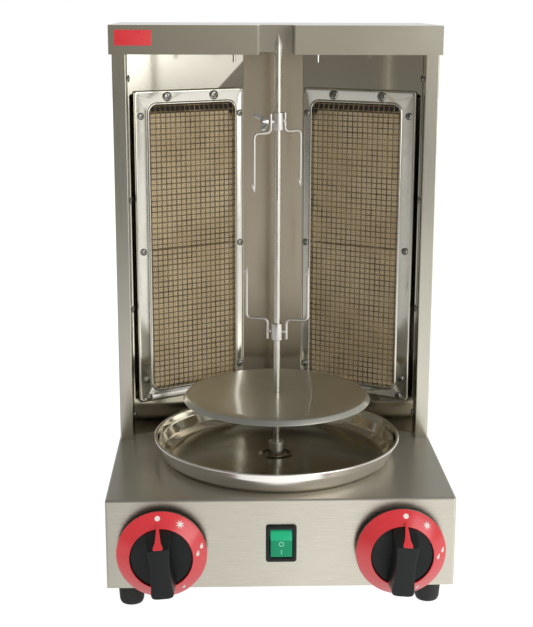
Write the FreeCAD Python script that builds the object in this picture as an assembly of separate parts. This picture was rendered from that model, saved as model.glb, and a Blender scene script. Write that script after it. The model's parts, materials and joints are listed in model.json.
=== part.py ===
import FreeCAD, Part
import math
import os

V = FreeCAD.Vector
UP = V(0, 0, 1)
RIGHT = V(1, 0, 0)
BACK = V(0, 1, 0)
FRONT = V(0, -1, 0)

# Driving dimensions, in millimetres
base_width = 300.0
base_depth = 300.0
base_height = 80.0
foot_height = 21.0
foot_radius = 12.0
foot_inset = 20.0
sheet = 1.0
bend = 2.0
tower_width = 297.0
tower_front = 8.5
tower_height = 365.0
back_flange = 11.0
return_depth = 15.0
cap_width = 302.0
cap_height = 26.0
cap_overhang = 3.0
notch_width = 31.0
notch_depth = 18.0
panel_angle = 30.0
panel_outer_x = 136.0
panel_outer_y = 24.0
panel_inner_x = 29.0
frame_left = 5.0
frame_right = 122.0
frame_low = 32.0
frame_high = 331.5
window_left = 20.5
window_right = 112.5
window_low = 43.5
window_high = 318.0
window_corner = 8.0
frame_proud = 3.2
tile_thickness = 13.0
housing_depth = 40.0
spit_from_front = 114.0
spit_radius = 3.1
spit_foot_radius = 3.4
spit_tip = 384.4
spit_taper = 9.4
pan_radius = 113.4
pan_height = 21.6
pan_floor_radius = 99.5
pan_hole_radius = 12.6
pan_sheet = 0.8
plate_radius = 86.5
plate_flat_radius = 79.0
plate_top = 61.0
plate_drop = 6.0
plate_sheet = 1.2
fork_reach = 28.2
fork_wire = 1.25
fork_collar_radius = 5.2
fork_collar_height = 15.5
leg_reach = 8.6
prong_drop = 61.3
weld_radius = 1.1
upper_fork_turn = 41.0
lower_fork_turn = -12.0
knob_x = 102.0
knob_drop = 45.0
knob_radius = 38.6
knob_ring_inner = 26.6
knob_reach = 42.0
switch_width = 25.6
switch_height = 33.0
switch_drop = 39.9
gas_pipe_radius = 4.0
feed_pipe_radius = 3.0
gas_stub_radius = 4.6
gas_stub_length = 42.0
running_gap = 0.05

# Places worked out from the driving dimensions
z_low = foot_height
z_top = foot_height + base_height
z_tower = z_top + tower_height
z_cap = z_tower + cap_height
y_front = -base_depth / 2
y_back = base_depth / 2
y_tower_back = y_back - sheet
spit_y = y_front + spit_from_front
knob_z = z_top - knob_drop
switch_z = z_top - switch_drop
panel_tan = math.tan(math.radians(panel_angle))
panel_cos = math.cos(math.radians(panel_angle))
panel_sin = math.sin(math.radians(panel_angle))
panel_length = (panel_outer_x - panel_inner_x) / panel_cos
centre_y = panel_outer_y + (panel_outer_x - panel_inner_x) * panel_tan


# Small building blocks
def block(x0, x1, y0, y1, z0, z1):
    return Part.makeBox(x1 - x0, y1 - y0, z1 - z0, V(x0, y0, z0))


def rod(radius, start, direction, length):
    return Part.makeCylinder(radius, length, start, direction)


def tube(outer, inner, start, direction, length):
    return rod(outer, start, direction, length).cut(rod(inner, start, direction, length))


def join(shapes):
    whole = shapes[0]
    if len(shapes) > 1:
        whole = whole.fuse(shapes[1:])
    return whole.removeSplitter()


def carve(shape, cutters):
    return shape.cut(Part.makeCompound(cutters))


def group(shapes):
    return Part.makeCompound(shapes)


def turned(points, axis_point=V(0, 0, 0), direction=UP):
    # A turned solid from (radius, height) corners
    corners = [V(r, 0, h) for r, h in points]
    outline = Part.makePolygon(corners + corners[:1])
    solid = Part.Face(outline).revolve(V(0, 0, 0), UP, 360)
    solid.Placement = FreeCAD.Placement(axis_point, FreeCAD.Rotation(UP, direction))
    return solid


def mirrored(shape):
    return shape.mirror(V(0, 0, 0), RIGHT)


def rounded_plate(x0, x1, z0, z1, radius, y0, y1):
    # A plate facing the front with rounded corners
    plate = block(x0, x1, y0, y1, z0, z1)
    corners = [e for e in plate.Edges if abs(e.tangentAt(e.FirstParameter).y) > 0.99]
    return plate.makeFillet(radius, corners)


def ring_plate(outer, inner, outer_radius, inner_radius, y0, y1):
    # A rounded frame between two (x0, x1, z0, z1) rectangles
    plate = rounded_plate(*outer, outer_radius, y0, y1)
    hole = rounded_plate(*inner, inner_radius, y0 - 1, y1 + 1)
    return plate.cut(hole)


def grown(rectangle, amount):
    x0, x1, z0, z1 = rectangle
    return (x0 - amount, x1 + amount, z0 - amount, z1 + amount)


def screw(seat, outwards, head_radius, head_height, shank_radius, shank_length):
    # A pan-head screw whose head sits on the seat and points outwards
    dome_low = head_height * 0.45
    dome_mid_radius = head_radius * 0.72
    dome_mid_height = head_height * 0.87
    crown_radius = head_radius * 0.2
    outline = [
        Part.LineSegment(V(0, 0, -shank_length), V(shank_radius, 0, -shank_length)).toShape(),
        Part.LineSegment(V(shank_radius, 0, -shank_length), V(shank_radius, 0, 0)).toShape(),
        Part.LineSegment(V(shank_radius, 0, 0), V(head_radius, 0, 0)).toShape(),
        Part.LineSegment(V(head_radius, 0, 0), V(head_radius, 0, dome_low)).toShape(),
        Part.Arc(V(head_radius, 0, dome_low), V(dome_mid_radius, 0, dome_mid_height),
                 V(crown_radius, 0, head_height)).toShape(),
        Part.LineSegment(V(crown_radius, 0, head_height), V(0, 0, head_height)).toShape(),
        Part.LineSegment(V(0, 0, head_height), V(0, 0, -shank_length)).toShape(),
    ]
    solid = Part.Face(Part.Wire(outline)).revolve(V(0, 0, 0), UP, 360)
    solid.Placement = FreeCAD.Placement(seat, FreeCAD.Rotation(UP, outwards))
    return solid


def hole(seat, outwards, radius, reach=6.0):
    # A round cutter that passes through the seat both ways
    start = seat - outwards * reach
    return rod(radius, start, outwards, 2 * reach)


def pipe(points, bend_radius, radius):
    # A round pipe along straight runs joined by tangent arcs
    edges = []
    start = points[0]
    for before, corner, after in zip(points, points[1:], points[2:]):
        inward = (corner - before).normalize()
        outward = (after - corner).normalize()
        half_turn = inward.getAngle(outward) / 2
        trim = bend_radius * math.tan(half_turn)
        arc_start = corner - inward * trim
        arc_end = corner + outward * trim
        middle = outward - inward
        middle.normalize()
        crown = bend_radius / math.cos(half_turn) - bend_radius
        edges.append(Part.LineSegment(start, arc_start).toShape())
        edges.append(Part.Arc(arc_start, corner + middle * crown, arc_end).toShape())
        start = arc_end
    edges.append(Part.LineSegment(start, points[-1]).toShape())
    first = (points[1] - points[0]).normalize()
    section = Part.Wire(Part.makeCircle(radius, points[0], first))
    return Part.Wire(edges).makePipeShell([section], True, False)


def on_panel(shape):
    # Moves a shape from the flat burner layout to the left angled panel
    corner = V(-panel_outer_x, panel_outer_y, z_top)
    shape.Placement = FreeCAD.Placement(corner, FreeCAD.Rotation(UP, panel_angle))
    return shape


# Fasteners
m4_head = 3.6
m4_head_height = 2.2
m4_shank = 2.0
wing_shank = 1.6
m3_shank = 1.5
big_head = 4.2
return_screw_heights = (23.0, 127.0, 231.0, 343.0)
cover_screw_heights = (20.0, 182.0, 344.0)
cover_screw_x = 138.0
base_screw_y = (-90.0, 0.0, 90.0)
base_screw_z = z_low + 5.0
frame_screw_spots = (
    (39.4, 325.2), (89.4, 325.2), (11.9, 308.0), (12.4, 180.3), (13.2, 54.6),
    (15.4, 36.8), (117.9, 307.0), (118.2, 180.3), (118.2, 56.2),
)
large_frame_screws = 2


def return_screw_seats():
    # Screws through the tower's return walls into the burner panels' flanges
    seats = []
    y = tower_front + return_depth - 5.0
    for side in (-1, 1):
        for height in return_screw_heights:
            seats.append((V(side * (panel_outer_x - sheet / 2), y, z_top + height), V(-side, 0, 0)))
    return seats


def cover_screw_seats():
    seats = []
    for side in (-1, 1):
        for height in cover_screw_heights:
            seats.append((V(side * cover_screw_x, y_tower_back, z_top + height), BACK))
    return seats


def base_screw_seats():
    seats = []
    for side in (-1, 1):
        for y in base_screw_y:
            seats.append((V(side * base_width / 2, y, base_screw_z), V(side, 0, 0)))
    return seats


def foot_centres():
    x = base_width / 2 - foot_inset
    y = base_depth / 2 - foot_inset
    return {
        "front_left_foot": V(-x, -y, 0), "front_right_foot": V(x, -y, 0),
        "rear_left_foot": V(-x, y, 0), "rear_right_foot": V(x, y, 0),
    }


# Burner layout, flat: x runs inwards along the panel, y runs backwards, z up from the base top
frame_rect = (frame_left, frame_right, frame_low, frame_high)
window_rect = (window_left, window_right, window_low, window_high)
tile_rect = grown(window_rect, 2.0)
tile_gap = 1.0
tile_front = 2.2
gasket_width = 3.0
gasket_rim = 1.1
open_rect = (window_left + 2.5, window_right - 3.0, window_low + 2.5, window_high - 8.5)
housing_rect = grown(tile_rect, gasket_width + sheet)
flange_rect = (7.0, 121.0, 33.5, 330.5)
cutout_rect = (1.6, 117.0, 35.5, 328.5)
mixing_depth = 27.0
mixing_radius = 11.0
mixing_along = (panel_outer_x - knob_x + mixing_depth * panel_sin) / panel_cos
mixing_x = -knob_x
mixing_y = panel_outer_y + mixing_along * panel_sin + mixing_depth * panel_cos
mixing_low = z_top - 24.0
injector_low = z_top - 41.0
injector_height = 13.0
feed_z = knob_z - 10.0
feed_bend = 12.0
manifold_y = y_front + 32.0
manifold_z = z_low + 13.0
supply_x = 132.0
supply_bend = 16.0
vent_length = 34.0
vent_width = 4.0


def frame_screw_seats(front):
    return [(V(s, front, z), FRONT) for s, z in frame_screw_spots]


# Base
def base_shell():
    outer = block(-base_width / 2, base_width / 2, y_front, y_back, z_low, z_top)
    outer = outer.makeFillet(bend, folded_edges(outer))
    wall_x = base_width / 2 - sheet
    inner = block(-wall_x, wall_x, y_front + sheet, y_back + 5, z_low - 5, z_top - sheet)
    inner = inner.makeFillet(bend - sheet, folded_edges(inner))
    cutters = [inner]
    cutters.append(rod(bush_radius, V(0, spit_y, z_top - 5), UP, 10))
    for side in (-1, 1):
        cutters.append(rod(mixing_radius + 2, V(side * mixing_x, mixing_y, z_top - 5), UP, 10))
        cutters.append(rod(spindle_hole_radius, V(side * knob_x, y_front - 5, knob_z), BACK, 10))
    half_w = switch_body_width / 2
    half_h = switch_body_height / 2
    cutters.append(block(-half_w, half_w, y_front - 5, y_front + 5, switch_z - half_h, switch_z + half_h))
    for seat, outwards in base_screw_seats():
        cutters.append(hole(seat, outwards, m3_shank + 0.1, 3.0))
    return carve(outer, cutters)


def folded_edges(box):
    # The box's edges that aren't on its open underside or its open back
    return [e for e in box.Edges if e.BoundBox.ZMax > z_low + 1 and e.BoundBox.YMin < y_back - 1]


def base_back_panel():
    # Sheet let into the shell's open back, with vents and a flange under the top
    gap = 0.1
    x = base_width / 2 - sheet - gap
    high = z_top - sheet - gap
    panel = block(-x, x, y_back - sheet, y_back, z_low + 0.3, high)
    corners = [e for e in panel.Edges if e.BoundBox.ZMin > high - 0.01 and e.BoundBox.XLength < 0.01]
    panel = panel.makeFillet(bend - sheet, corners)
    flange_half = x - 4.0
    flange = block(-flange_half, flange_half, y_back - back_flange, y_back - sheet, high - sheet, high)
    outer = join([panel, flange])
    cutters = [
        rod(gas_pipe_radius + 0.6, V(supply_x, y_back - 5, manifold_z), BACK, 10),
        rod(grommet_neck_radius, V(grommet_x, y_back - 5, grommet_z), BACK, 10),
    ]
    for column in range(7):
        x = -60.0 + column * 20.0
        for row_z in (z_low + 22.0, z_low + 46.0):
            low = row_z - vent_length / 4
            high = row_z + vent_length / 4
            cutters.append(block(x - vent_width / 2, x + vent_width / 2, y_back - 5, y_back + 5, low, high))
    return carve(outer, cutters)


def base_bottom_plate():
    gap = 0.1
    x = base_width / 2 - sheet - gap
    y = base_depth / 2 - sheet - gap
    lip = 8.5
    tray = block(-x, x, -y, y, z_low, z_low + lip)
    tray = tray.makeFillet(bend, [e for e in tray.Edges if e.BoundBox.ZLength > 1])
    inside = block(-x + sheet, x - sheet, -y + sheet, y - sheet, z_low + sheet, z_low + lip + 1)
    cutters = [inside]
    for centre in foot_centres().values():
        cutters.append(rod(m4_shank + 0.1, V(centre.x, centre.y, z_low - 1), UP, 5))
    for seat, outwards in base_screw_seats():
        cutters.append(hole(seat, outwards, m3_shank + 0.1, 3.0))
    for row in range(6):
        slot_y = -50.0 + row * 12.0
        cutters.append(block(-90, -50, slot_y, slot_y + vent_width, z_low - 1, z_low + 2))
        cutters.append(block(50, 90, slot_y, slot_y + vent_width, z_low - 1, z_low + 2))
    return carve(tray, cutters)


def rubber_foot(centre):
    taper = 1.6
    recess_radius = 5.0
    recess_height = 9.0
    body = turned([
        (recess_radius, 0), (foot_radius - taper - 1.0, 0), (foot_radius - taper, 1.0),
        (foot_radius, foot_height), (m4_shank + 0.1, foot_height), (m4_shank + 0.1, recess_height),
        (recess_radius, recess_height),
    ], centre)
    return body


def foot_screws():
    pieces = []
    seat_z = 9.0
    nut_height = 3.2
    nut_radius = 4.0
    nut_low = z_low + sheet
    for centre in foot_centres().values():
        seat = V(centre.x, centre.y, seat_z)
        length = nut_low + nut_height + 1.5 - seat_z
        pieces.append(screw(seat, V(0, 0, -1), m4_head, m4_head_height, m4_shank, length))
        nut = tube(nut_radius, m4_shank, V(centre.x, centre.y, nut_low), UP, nut_height)
        pieces.append(nut)
    return group(pieces)


def base_screws():
    return group([screw(seat, out, 2.8, 1.7, m3_shank, 5.0) for seat, out in base_screw_seats()])


# Tower
def tower_side():
    # Left side: outer wall, front flange with its return, rear flange and foot flange
    x = -tower_width / 2
    y0 = tower_front
    y1 = y_tower_back - sheet
    z1 = z_cap - sheet
    wall = block(x, x + sheet, y0, y1, z_top, z1)
    inner_x = -panel_outer_x
    flange = block(x, inner_x, y0, y0 + sheet, z_top, z1)
    back_turn = block(inner_x - sheet, inner_x, y0, y0 + return_depth, z_top, z1)
    rear = block(x, x + 16.0, y1 - sheet, y1, z_top, z1)
    foot = block(x, x + 7.0, y0 + 20.0, y1, z_top, z_top + sheet)
    whole = join([wall, flange, back_turn, rear, foot])
    corner = [e for e in whole.Edges if edge_at(e, x, y0)]
    corner += [e for e in whole.Edges if edge_at(e, inner_x, y0)]
    whole = whole.makeFillet(0.9, corner)
    cutters = [hole(seat, out, m4_shank + 0.1, 3.0) for seat, out in return_screw_seats() if seat.x < 0]
    cutters += [hole(seat, out, m4_shank + 0.1, 4.0) for seat, out in cover_screw_seats() if seat.x < 0]
    return carve(whole, cutters)


def edge_at(edge, x, y):
    # True for an upright edge at this plan position
    box = edge.BoundBox
    upright = box.ZLength > 10
    near_x = abs(box.XMin - x) < 0.01 and abs(box.XMax - x) < 0.01
    near_y = abs(box.YMin - y) < 0.01 and abs(box.YMax - y) < 0.01
    return upright and near_x and near_y


def tower_back_cover():
    x = tower_width / 2
    cover = block(-x, x, y_tower_back - sheet, y_tower_back, z_top, z_cap - sheet)
    cutters = [hole(seat, out, m4_shank + 0.1, 4.0) for seat, out in cover_screw_seats()]
    for column in range(9):
        centre_x = -96.0 + column * 24.0
        vent_left = centre_x - vent_width / 2
        vent_right = centre_x + vent_width / 2
        for level in (z_top + 55.0, z_top + 305.0):
            low = level - vent_length / 2
            high = level + vent_length / 2
            cutters.append(block(vent_left, vent_right, y_tower_back - 3, y_tower_back + 2, low, high))
    return carve(cover, cutters)


def tower_screws():
    pieces = []
    for seat, outwards in return_screw_seats():
        face = seat + outwards * (sheet / 2)
        pieces.append(screw(face, outwards, m4_head - 0.4, m4_head_height, m4_shank, 4.0))
    for seat, outwards in cover_screw_seats():
        pieces.append(screw(seat, outwards, m4_head, m4_head_height, m4_shank, 5.0))
    return group(pieces)


def burner_panel():
    # Angled sheet with a window for the burner and flanges turned back
    high = tower_height + cap_height - 2 * sheet
    flange_back = 9.0
    plate = block(0.3, panel_length, 0, sheet, 0, high)
    outer_flange = block(0.3, 1.3, 0, flange_back, 0, high)
    inner_flange = block(panel_length - sheet, panel_length, 0, flange_back, 0, high)
    whole = join([plate, outer_flange, inner_flange])
    cutters = [rounded_plate(*cutout_rect, 2.0, -1, 2)]
    cutters += [hole(seat, out, m3_shank + 0.1, 2.0) for seat, out in frame_screw_seats(0)]
    placed = on_panel(carve(whole, cutters))
    cutters = [hole(seat, out, m4_shank + 0.1, 3.5) for seat, out in return_screw_seats()]
    return carve(placed, cutters)


def centre_back_panel():
    # Upright strip between the two angled panels
    x = panel_inner_x - 0.2
    z1 = z_cap - 2 * sheet
    y0 = centre_y + 0.6
    strip = block(-x, x, y0, y0 + sheet, z_top, z1)
    left = block(-x, -x + sheet, y0, y0 + 10.0, z_top, z1)
    right = block(x - sheet, x, y0, y0 + 10.0, z_top, z1)
    return join([strip, left, right])


def cap_block(shrink, low, high):
    # The cap's plan shape, with the channel that is let into its front
    x = cap_width / 2 - shrink
    y0 = tower_front - cap_overhang + shrink
    y1 = y_back + 1.6 - shrink
    half = notch_width / 2 + shrink
    deep = tower_front - cap_overhang + notch_depth + shrink
    plan = block(-x, x, y0, y1, low, high).cut(block(-half, half, y0 - 9, deep, low - 1, high + 1))
    convex = [e for e in plan.Edges if edge_at(e, -half, y0) or edge_at(e, half, y0)]
    plan = plan.makeFillet(1.5 - shrink, convex)
    concave = [e for e in plan.Edges if edge_at(e, -half, deep) or edge_at(e, half, deep)]
    return plan.makeFillet(0.8 + shrink, concave)


def top_cap():
    # Lid with a skirt all round; the skirt is a little shorter in the channel
    shell = cap_block(0, z_tower, z_cap).cut(cap_block(sheet, z_tower - 1, z_cap - sheet))
    half = notch_width / 2 - 0.2
    y0 = tower_front - cap_overhang + 1.2
    lift = block(-half, half, y0, y0 + notch_depth + 2, z_tower - 1, z_tower + 1.8)
    return shell.cut(lift)


def cap_brace():
    x = panel_outer_x - 1.5
    bar = block(-x, x, stud_y - 5.0, stud_y + 5.0, brace_z, brace_z + 1.5)
    notch = block(-notch_width / 2 - 2, notch_width / 2 + 2, 0, stud_y + 11.0, brace_z - 1, brace_z + 3)
    cutters = [rod(m3_shank + 0.1, V(side * stud_x, stud_y, brace_z - 1), UP, 4) for side in (-1, 1)]
    back_bar = block(-notch_width, notch_width, stud_y + 5.0, stud_y + 19.0, brace_z, brace_z + 1.5)
    return carve(join([bar, back_bar]), cutters + [notch])


def cap_studs():
    pieces = []
    for side in (-1, 1):
        low = z_tower - 7.0
        pieces.append(rod(m3_shank, V(side * stud_x, stud_y, low), UP, z_cap - sheet - low))
        pieces.append(tube(2.9, m3_shank, V(side * stud_x, stud_y, brace_z - 2.4), UP, 2.4))
    return group(pieces)


stud_x = 38.0
stud_y = 15.0
brace_z = z_tower + 2.0


# Burners, each built flat and set on the left panel
def burner_frame():
    # Pressed frame: flat face, skirt to the panel and a raised lip round the window
    face_y = -frame_proud
    face = ring_plate(frame_rect, window_rect, 3.0, window_corner, face_y, face_y + sheet)
    skirt = ring_plate(frame_rect, grown(frame_rect, -sheet), 3.0, 2.0, face_y, 0)
    lip = ring_plate(grown(window_rect, 1.2), window_rect, window_corner + 1.2, window_corner,
                     face_y - 0.8, -0.7)
    whole = join([face, skirt, lip])
    cutters = [hole(seat, out, m3_shank + 0.1) for seat, out in frame_screw_seats(0)]
    return on_panel(carve(whole, cutters))


def burner_mesh():
    # Guard net as one holed sheet
    columns = 10
    rows = 29
    wire = 1.6
    edge = grown(window_rect, 2.0)
    x0, x1, z0, z1 = edge
    face_y = -0.6
    step_x = (x1 - x0 - wire) / columns
    step_z = (z1 - z0 - wire) / rows
    outline = Part.makePolygon([V(x0, face_y, z0), V(x1, face_y, z0), V(x1, face_y, z1),
                                V(x0, face_y, z1), V(x0, face_y, z0)])
    wires = [outline]
    for column in range(columns):
        for row in range(rows):
            left = x0 + wire + column * step_x
            low = z0 + wire + row * step_z
            right = left + step_x - wire
            high = low + step_z - wire
            corners = [V(left, face_y, low), V(right, face_y, low),
                       V(right, face_y, high), V(left, face_y, high)]
            wires.append(Part.makePolygon(corners + corners[:1]))
    net = Part.Face(wires, "Part::FaceMakerBullseye").extrude(V(0, 1.2, 0))
    return on_panel(net)


def ceramic_tiles():
    x0, x1, z0, z1 = tile_rect
    middle = (z0 + z1) / 2
    y1 = tile_front + tile_thickness
    lower = block(x0, x1, tile_front, y1, z0, middle - tile_gap / 2)
    upper = block(x0, x1, tile_front, y1, middle + tile_gap / 2, z1)
    return on_panel(group([lower, upper]))


def tile_gasket():
    y1 = tile_front + tile_thickness
    outer = block(*spans(grown(tile_rect, gasket_width), tile_front, y1))
    inner = block(*spans(tile_rect, tile_front - 1, y1 + 1))
    rim = ring_plate(grown(tile_rect, 1.0), open_rect, 0.5, 3.0, tile_front - gasket_rim, tile_front)
    return on_panel(join([outer.cut(inner), rim]))


def spans(rectangle, y0, y1):
    x0, x1, z0, z1 = rectangle
    return (x0, x1, y0, y1, z0, z1)


def burner_housing():
    # Gas box behind the tiles, with a flange behind the panel
    y0 = sheet + 0.1
    outer = block(*spans(housing_rect, y0, housing_depth))
    inner = block(*spans(grown(housing_rect, -sheet), y0 - 1, housing_depth - sheet))
    flange = block(*spans(flange_rect, y0, y0 + sheet))
    flange = flange.cut(block(*spans(grown(housing_rect, -sheet), y0 - 1, y0 + 3)))
    whole = join([outer.cut(inner), flange])
    cutters = [hole(seat, out, m3_shank + 0.1, 2.4) for seat, out in frame_screw_seats(0)]
    cutters.append(rod(mixing_radius, V(mixing_along, mixing_depth, housing_rect[2] - 2), UP, 5))
    return on_panel(carve(whole, cutters))


def frame_screws(side_shape):
    pieces = []
    for number, (s, z) in enumerate(frame_screw_spots):
        radius = big_head if number < large_frame_screws else 3.0
        seat = V(s, -frame_proud, z)
        pieces.append(screw(seat, FRONT, radius, 1.9, m3_shank, 5.2))
    return side_shape(on_panel(group(pieces)))


def mixing_tube():
    # Upright tube with a flared mouth above the injector
    wall = 1.0
    high = z_top + housing_rect[2] + 8.0
    mouth = mixing_radius + 4.0
    flare = 8.0
    outline = [
        (mouth, 0), (mixing_radius, flare), (mixing_radius, high - mixing_low),
        (mixing_radius - wall, high - mixing_low), (mixing_radius - wall, flare), (mouth - wall * 1.4, 0),
    ]
    return turned(outline, V(mixing_x, mixing_y, mixing_low))


def injector():
    body = rod(5.5, V(mixing_x, mixing_y, injector_low), UP, injector_height - 5.0)
    tip = rod(3.5, V(mixing_x, mixing_y, injector_low + injector_height - 5.0), UP, 5.0)
    jet = rod(0.5, V(mixing_x, mixing_y, injector_low + 4.0), UP, injector_height)
    socket = rod(feed_pipe_radius, V(mixing_x, mixing_y, injector_low - 1), UP, 5.0)
    return carve(join([body, tip]), [jet, socket])


# Gas valves and pipes
spindle_hole_radius = 8.5
spindle_radius = 4.0
nose_front = y_front + 3.6
nose_length = 11.0
valve_back = y_front + 46.0


def gas_valve():
    x = -knob_x
    nose = rod(7.5, V(x, nose_front, knob_z), BACK, nose_length)
    body = block(x - 13, x + 13, nose_front + nose_length, valve_back, feed_z - 7, knob_z + 13)
    saddle = rod(7.5, V(x - 8, manifold_y, manifold_z), RIGHT, 16)
    neck = rod(6.0, V(x, manifold_y, manifold_z), UP, feed_z - 6 - manifold_z)
    outlet = rod(6.5, V(x, valve_back, feed_z), BACK, 8.0)
    whole = join([nose, body, saddle, neck, outlet])
    cutters = [
        rod(spindle_radius + running_gap, V(x, nose_front - 1, knob_z), BACK, 11.0),
        rod(gas_pipe_radius, V(x - 20, manifold_y, manifold_z), RIGHT, 40),
        rod(feed_pipe_radius, V(x, valve_back + 3.0, feed_z), BACK, 10),
    ]
    return carve(whole, cutters)


def valve_spindle():
    start = V(-knob_x, y_front - 22.0, knob_z)
    whole = rod(spindle_radius, start, BACK, 28.0)
    flat = block(-knob_x - 6, -knob_x + 6, start.y - 1, start.y + 14.0, knob_z + 2.8, knob_z + 6)
    return whole.cut(flat)


def spindle_collar():
    start = V(-knob_x, y_front - 3.6, knob_z)
    return tube(7.0, spindle_radius + running_gap, start, BACK, 2.4)


def feed_pipe():
    start = V(-knob_x, valve_back + 3.0, feed_z)
    corner = V(-knob_x, mixing_y, feed_z)
    end = V(-knob_x, mixing_y, injector_low + 4.0)
    return pipe([start, corner, end], feed_bend, feed_pipe_radius)


def gas_supply_pipe():
    start = V(-knob_x - 14.0, manifold_y, manifold_z)
    corner = V(supply_x, manifold_y, manifold_z)
    end = V(supply_x, y_back + 1.0, manifold_z)
    stub = rod(gas_stub_radius, V(supply_x, y_back, manifold_z), BACK, gas_stub_length)
    bore = rod(gas_pipe_radius - 1.0, V(supply_x, y_back + 5.0, manifold_z), BACK, gas_stub_length)
    return join([pipe([start, corner, end], supply_bend, gas_pipe_radius), stub]).cut(bore)


# Knobs
knob_face = y_front - 17.0
knob_back = y_front - 3.8
ring_edge_y = y_front - 10.0
ring_inner_y = y_front - 20.0
grip_length = 52.0
grip_front_top = 18.0
grip_front_low = -25.0
knob_turn = 4.8


def knob_ring():
    # Red sloping ring with the pointer that climbs onto the grip
    outline = [
        (knob_ring_inner, y_front - ring_inner_y), (knob_radius - 0.6, y_front - ring_edge_y + 0.3),
        (knob_radius, y_front - ring_edge_y), (knob_radius, y_front - ring_edge_y - 1.6),
        (knob_ring_inner + 0.1, y_front - ring_inner_y - 3.0),
    ]
    ring = turned(outline, V(-knob_x, y_front, knob_z), FRONT)
    return ring


def knob_pointer(lift):
    # Wedge that is narrow on the ring and wide where it meets the grip's face
    top = V(-knob_x, ring_inner_y - 0.2, knob_z + knob_ring_inner + 1.5)
    low = V(-knob_x, y_front - knob_reach - lift, knob_z + grip_front_top - 1.0)
    narrow = 0.9
    wide = 4.4
    depth = V(0, 3.0, -1.5)
    corners = [top + V(-narrow, 0, 0), top + V(narrow, 0, 0), low + V(wide, 0, 0), low + V(-wide, 0, 0)]
    face = Part.Face(Part.makePolygon(corners + corners[:1]))
    return face.extrude(depth)


def grip_outline(y, low, high, end_half, waist_half):
    # Closed outline with straight ends and hollow sides
    middle = (low + high) / 2

    def corner(x, z):
        return V(-knob_x + x, y, knob_z + z)

    right = Part.Arc(corner(end_half, low), corner(waist_half, middle), corner(end_half, high)).toShape()
    top = Part.makeLine(corner(end_half, high), corner(-end_half, high))
    left = Part.Arc(corner(-end_half, high), corner(-waist_half, middle), corner(-end_half, low)).toShape()
    bottom = Part.makeLine(corner(-end_half, low), corner(end_half, low))
    return Part.Wire([right, top, left, bottom])


def knob_body():
    # Black hollow knob: skirt under the ring, face, hub and grip
    back = y_front - knob_back
    skirt = turned([
        (0, y_front - knob_face), (knob_ring_inner, y_front - knob_face),
        (knob_radius - 0.7, y_front - ring_edge_y - 1.7), (knob_radius - 0.7, back),
        (knob_radius - 3.0, back), (knob_radius - 3.0, back + 3.4),
        (knob_ring_inner - 1.0, y_front - knob_face - 2.6), (8.0, y_front - knob_face - 2.6),
        (8.0, back + 3.0), (0, back + 3.0),
    ], V(-knob_x, y_front, knob_z), FRONT)
    half = grip_length / 2
    base = grip_outline(knob_face, -half, half, 12.0, 9.0)
    front = grip_outline(y_front - knob_reach, grip_front_low, grip_front_top, 9.4, 7.0)
    grip = Part.makeLoft([base, front], True, True)
    grip = grip.common(rod(knob_ring_inner - 0.2, V(-knob_x, y_front, knob_z), FRONT, knob_reach + 5))
    whole = join([skirt, grip])
    return carve(whole, [rod(spindle_radius, V(-knob_x, y_front, knob_z), FRONT, 22.0)])


def split_knob():
    # The pointer is let into the grip, so the two pieces meet without overlap
    pointer = knob_pointer(0.5)
    body = knob_body().cut(pointer)
    body = max(body.Solids, key=lambda piece: piece.Volume)
    ring = knob_ring().fuse(pointer).removeSplitter()
    for piece in (body, ring):
        piece.rotate(V(-knob_x, 0, knob_z), FRONT, knob_turn)
    return body, ring


# Switch
switch_body_width = 21.8
switch_body_height = 27.6
bezel_proud = 2.0
rocker_width = 18.4
rocker_height = 22.4
pivot_y = y_front + 4.0
pivot_radius = 1.2
pivot_half = 10.4


def switch_housing():
    half_w = switch_width / 2
    half_h = switch_height / 2
    bezel_front = y_front - bezel_proud
    bezel = rounded_plate(-half_w, half_w, switch_z - half_h, switch_z + half_h, 2.0, bezel_front, y_front)
    front_edge = [e for e in bezel.Edges if abs(e.BoundBox.YMax - bezel_front) < 0.01]
    bezel = bezel.makeFillet(0.7, front_edge)
    bw = switch_body_width / 2 - 0.2
    bh = switch_body_height / 2 - 0.2
    body = block(-bw, bw, y_front, y_front + 24.0, switch_z - bh, switch_z + bh)
    blades = []
    for x in (-4.0, 4.0):
        for z in (-7.0, 7.0):
            level = switch_z + z
            blades.append(block(x - 0.4, x + 0.4, y_front + 24.0, y_front + 32.0, level - 3.1, level + 3.1))
    whole = join([bezel, body] + blades)
    cw = rocker_width / 2 + 0.5
    ch = rocker_height / 2 + 2.0
    cavity = block(-cw, cw, y_front - 5, y_front + 18.0, switch_z - ch, switch_z + ch)
    bearing_half = pivot_half + 1.0
    bearing = rod(pivot_radius + running_gap, V(-bearing_half, pivot_y, switch_z), RIGHT, 2 * bearing_half)
    return carve(whole, [cavity, bearing])


def switch_rocker():
    # Two-faced rocker, pressed at its top
    top = rocker_height / 2
    ridge = 3.9
    outline = [
        V(0, y_front - 0.6, switch_z + top), V(0, y_front - 4.4, switch_z + ridge),
        V(0, y_front - 4.6, switch_z - top + 0.6), V(0, y_front - 4.0, switch_z - top),
        V(0, y_front + 3.0, switch_z - top + 1.0), V(0, y_front + 9.0, switch_z - 4.0),
        V(0, y_front + 9.0, switch_z + 4.0), V(0, y_front + 4.0, switch_z + top - 0.6),
    ]
    face = Part.Face(Part.makePolygon(outline + outline[:1]))
    half = rocker_width / 2
    solid = face.extrude(V(rocker_width, 0, 0))
    solid.translate(V(-half, 0, 0))
    pins = rod(pivot_radius, V(-pivot_half, pivot_y, switch_z), RIGHT, 2 * pivot_half)
    return join([solid, pins])


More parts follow.
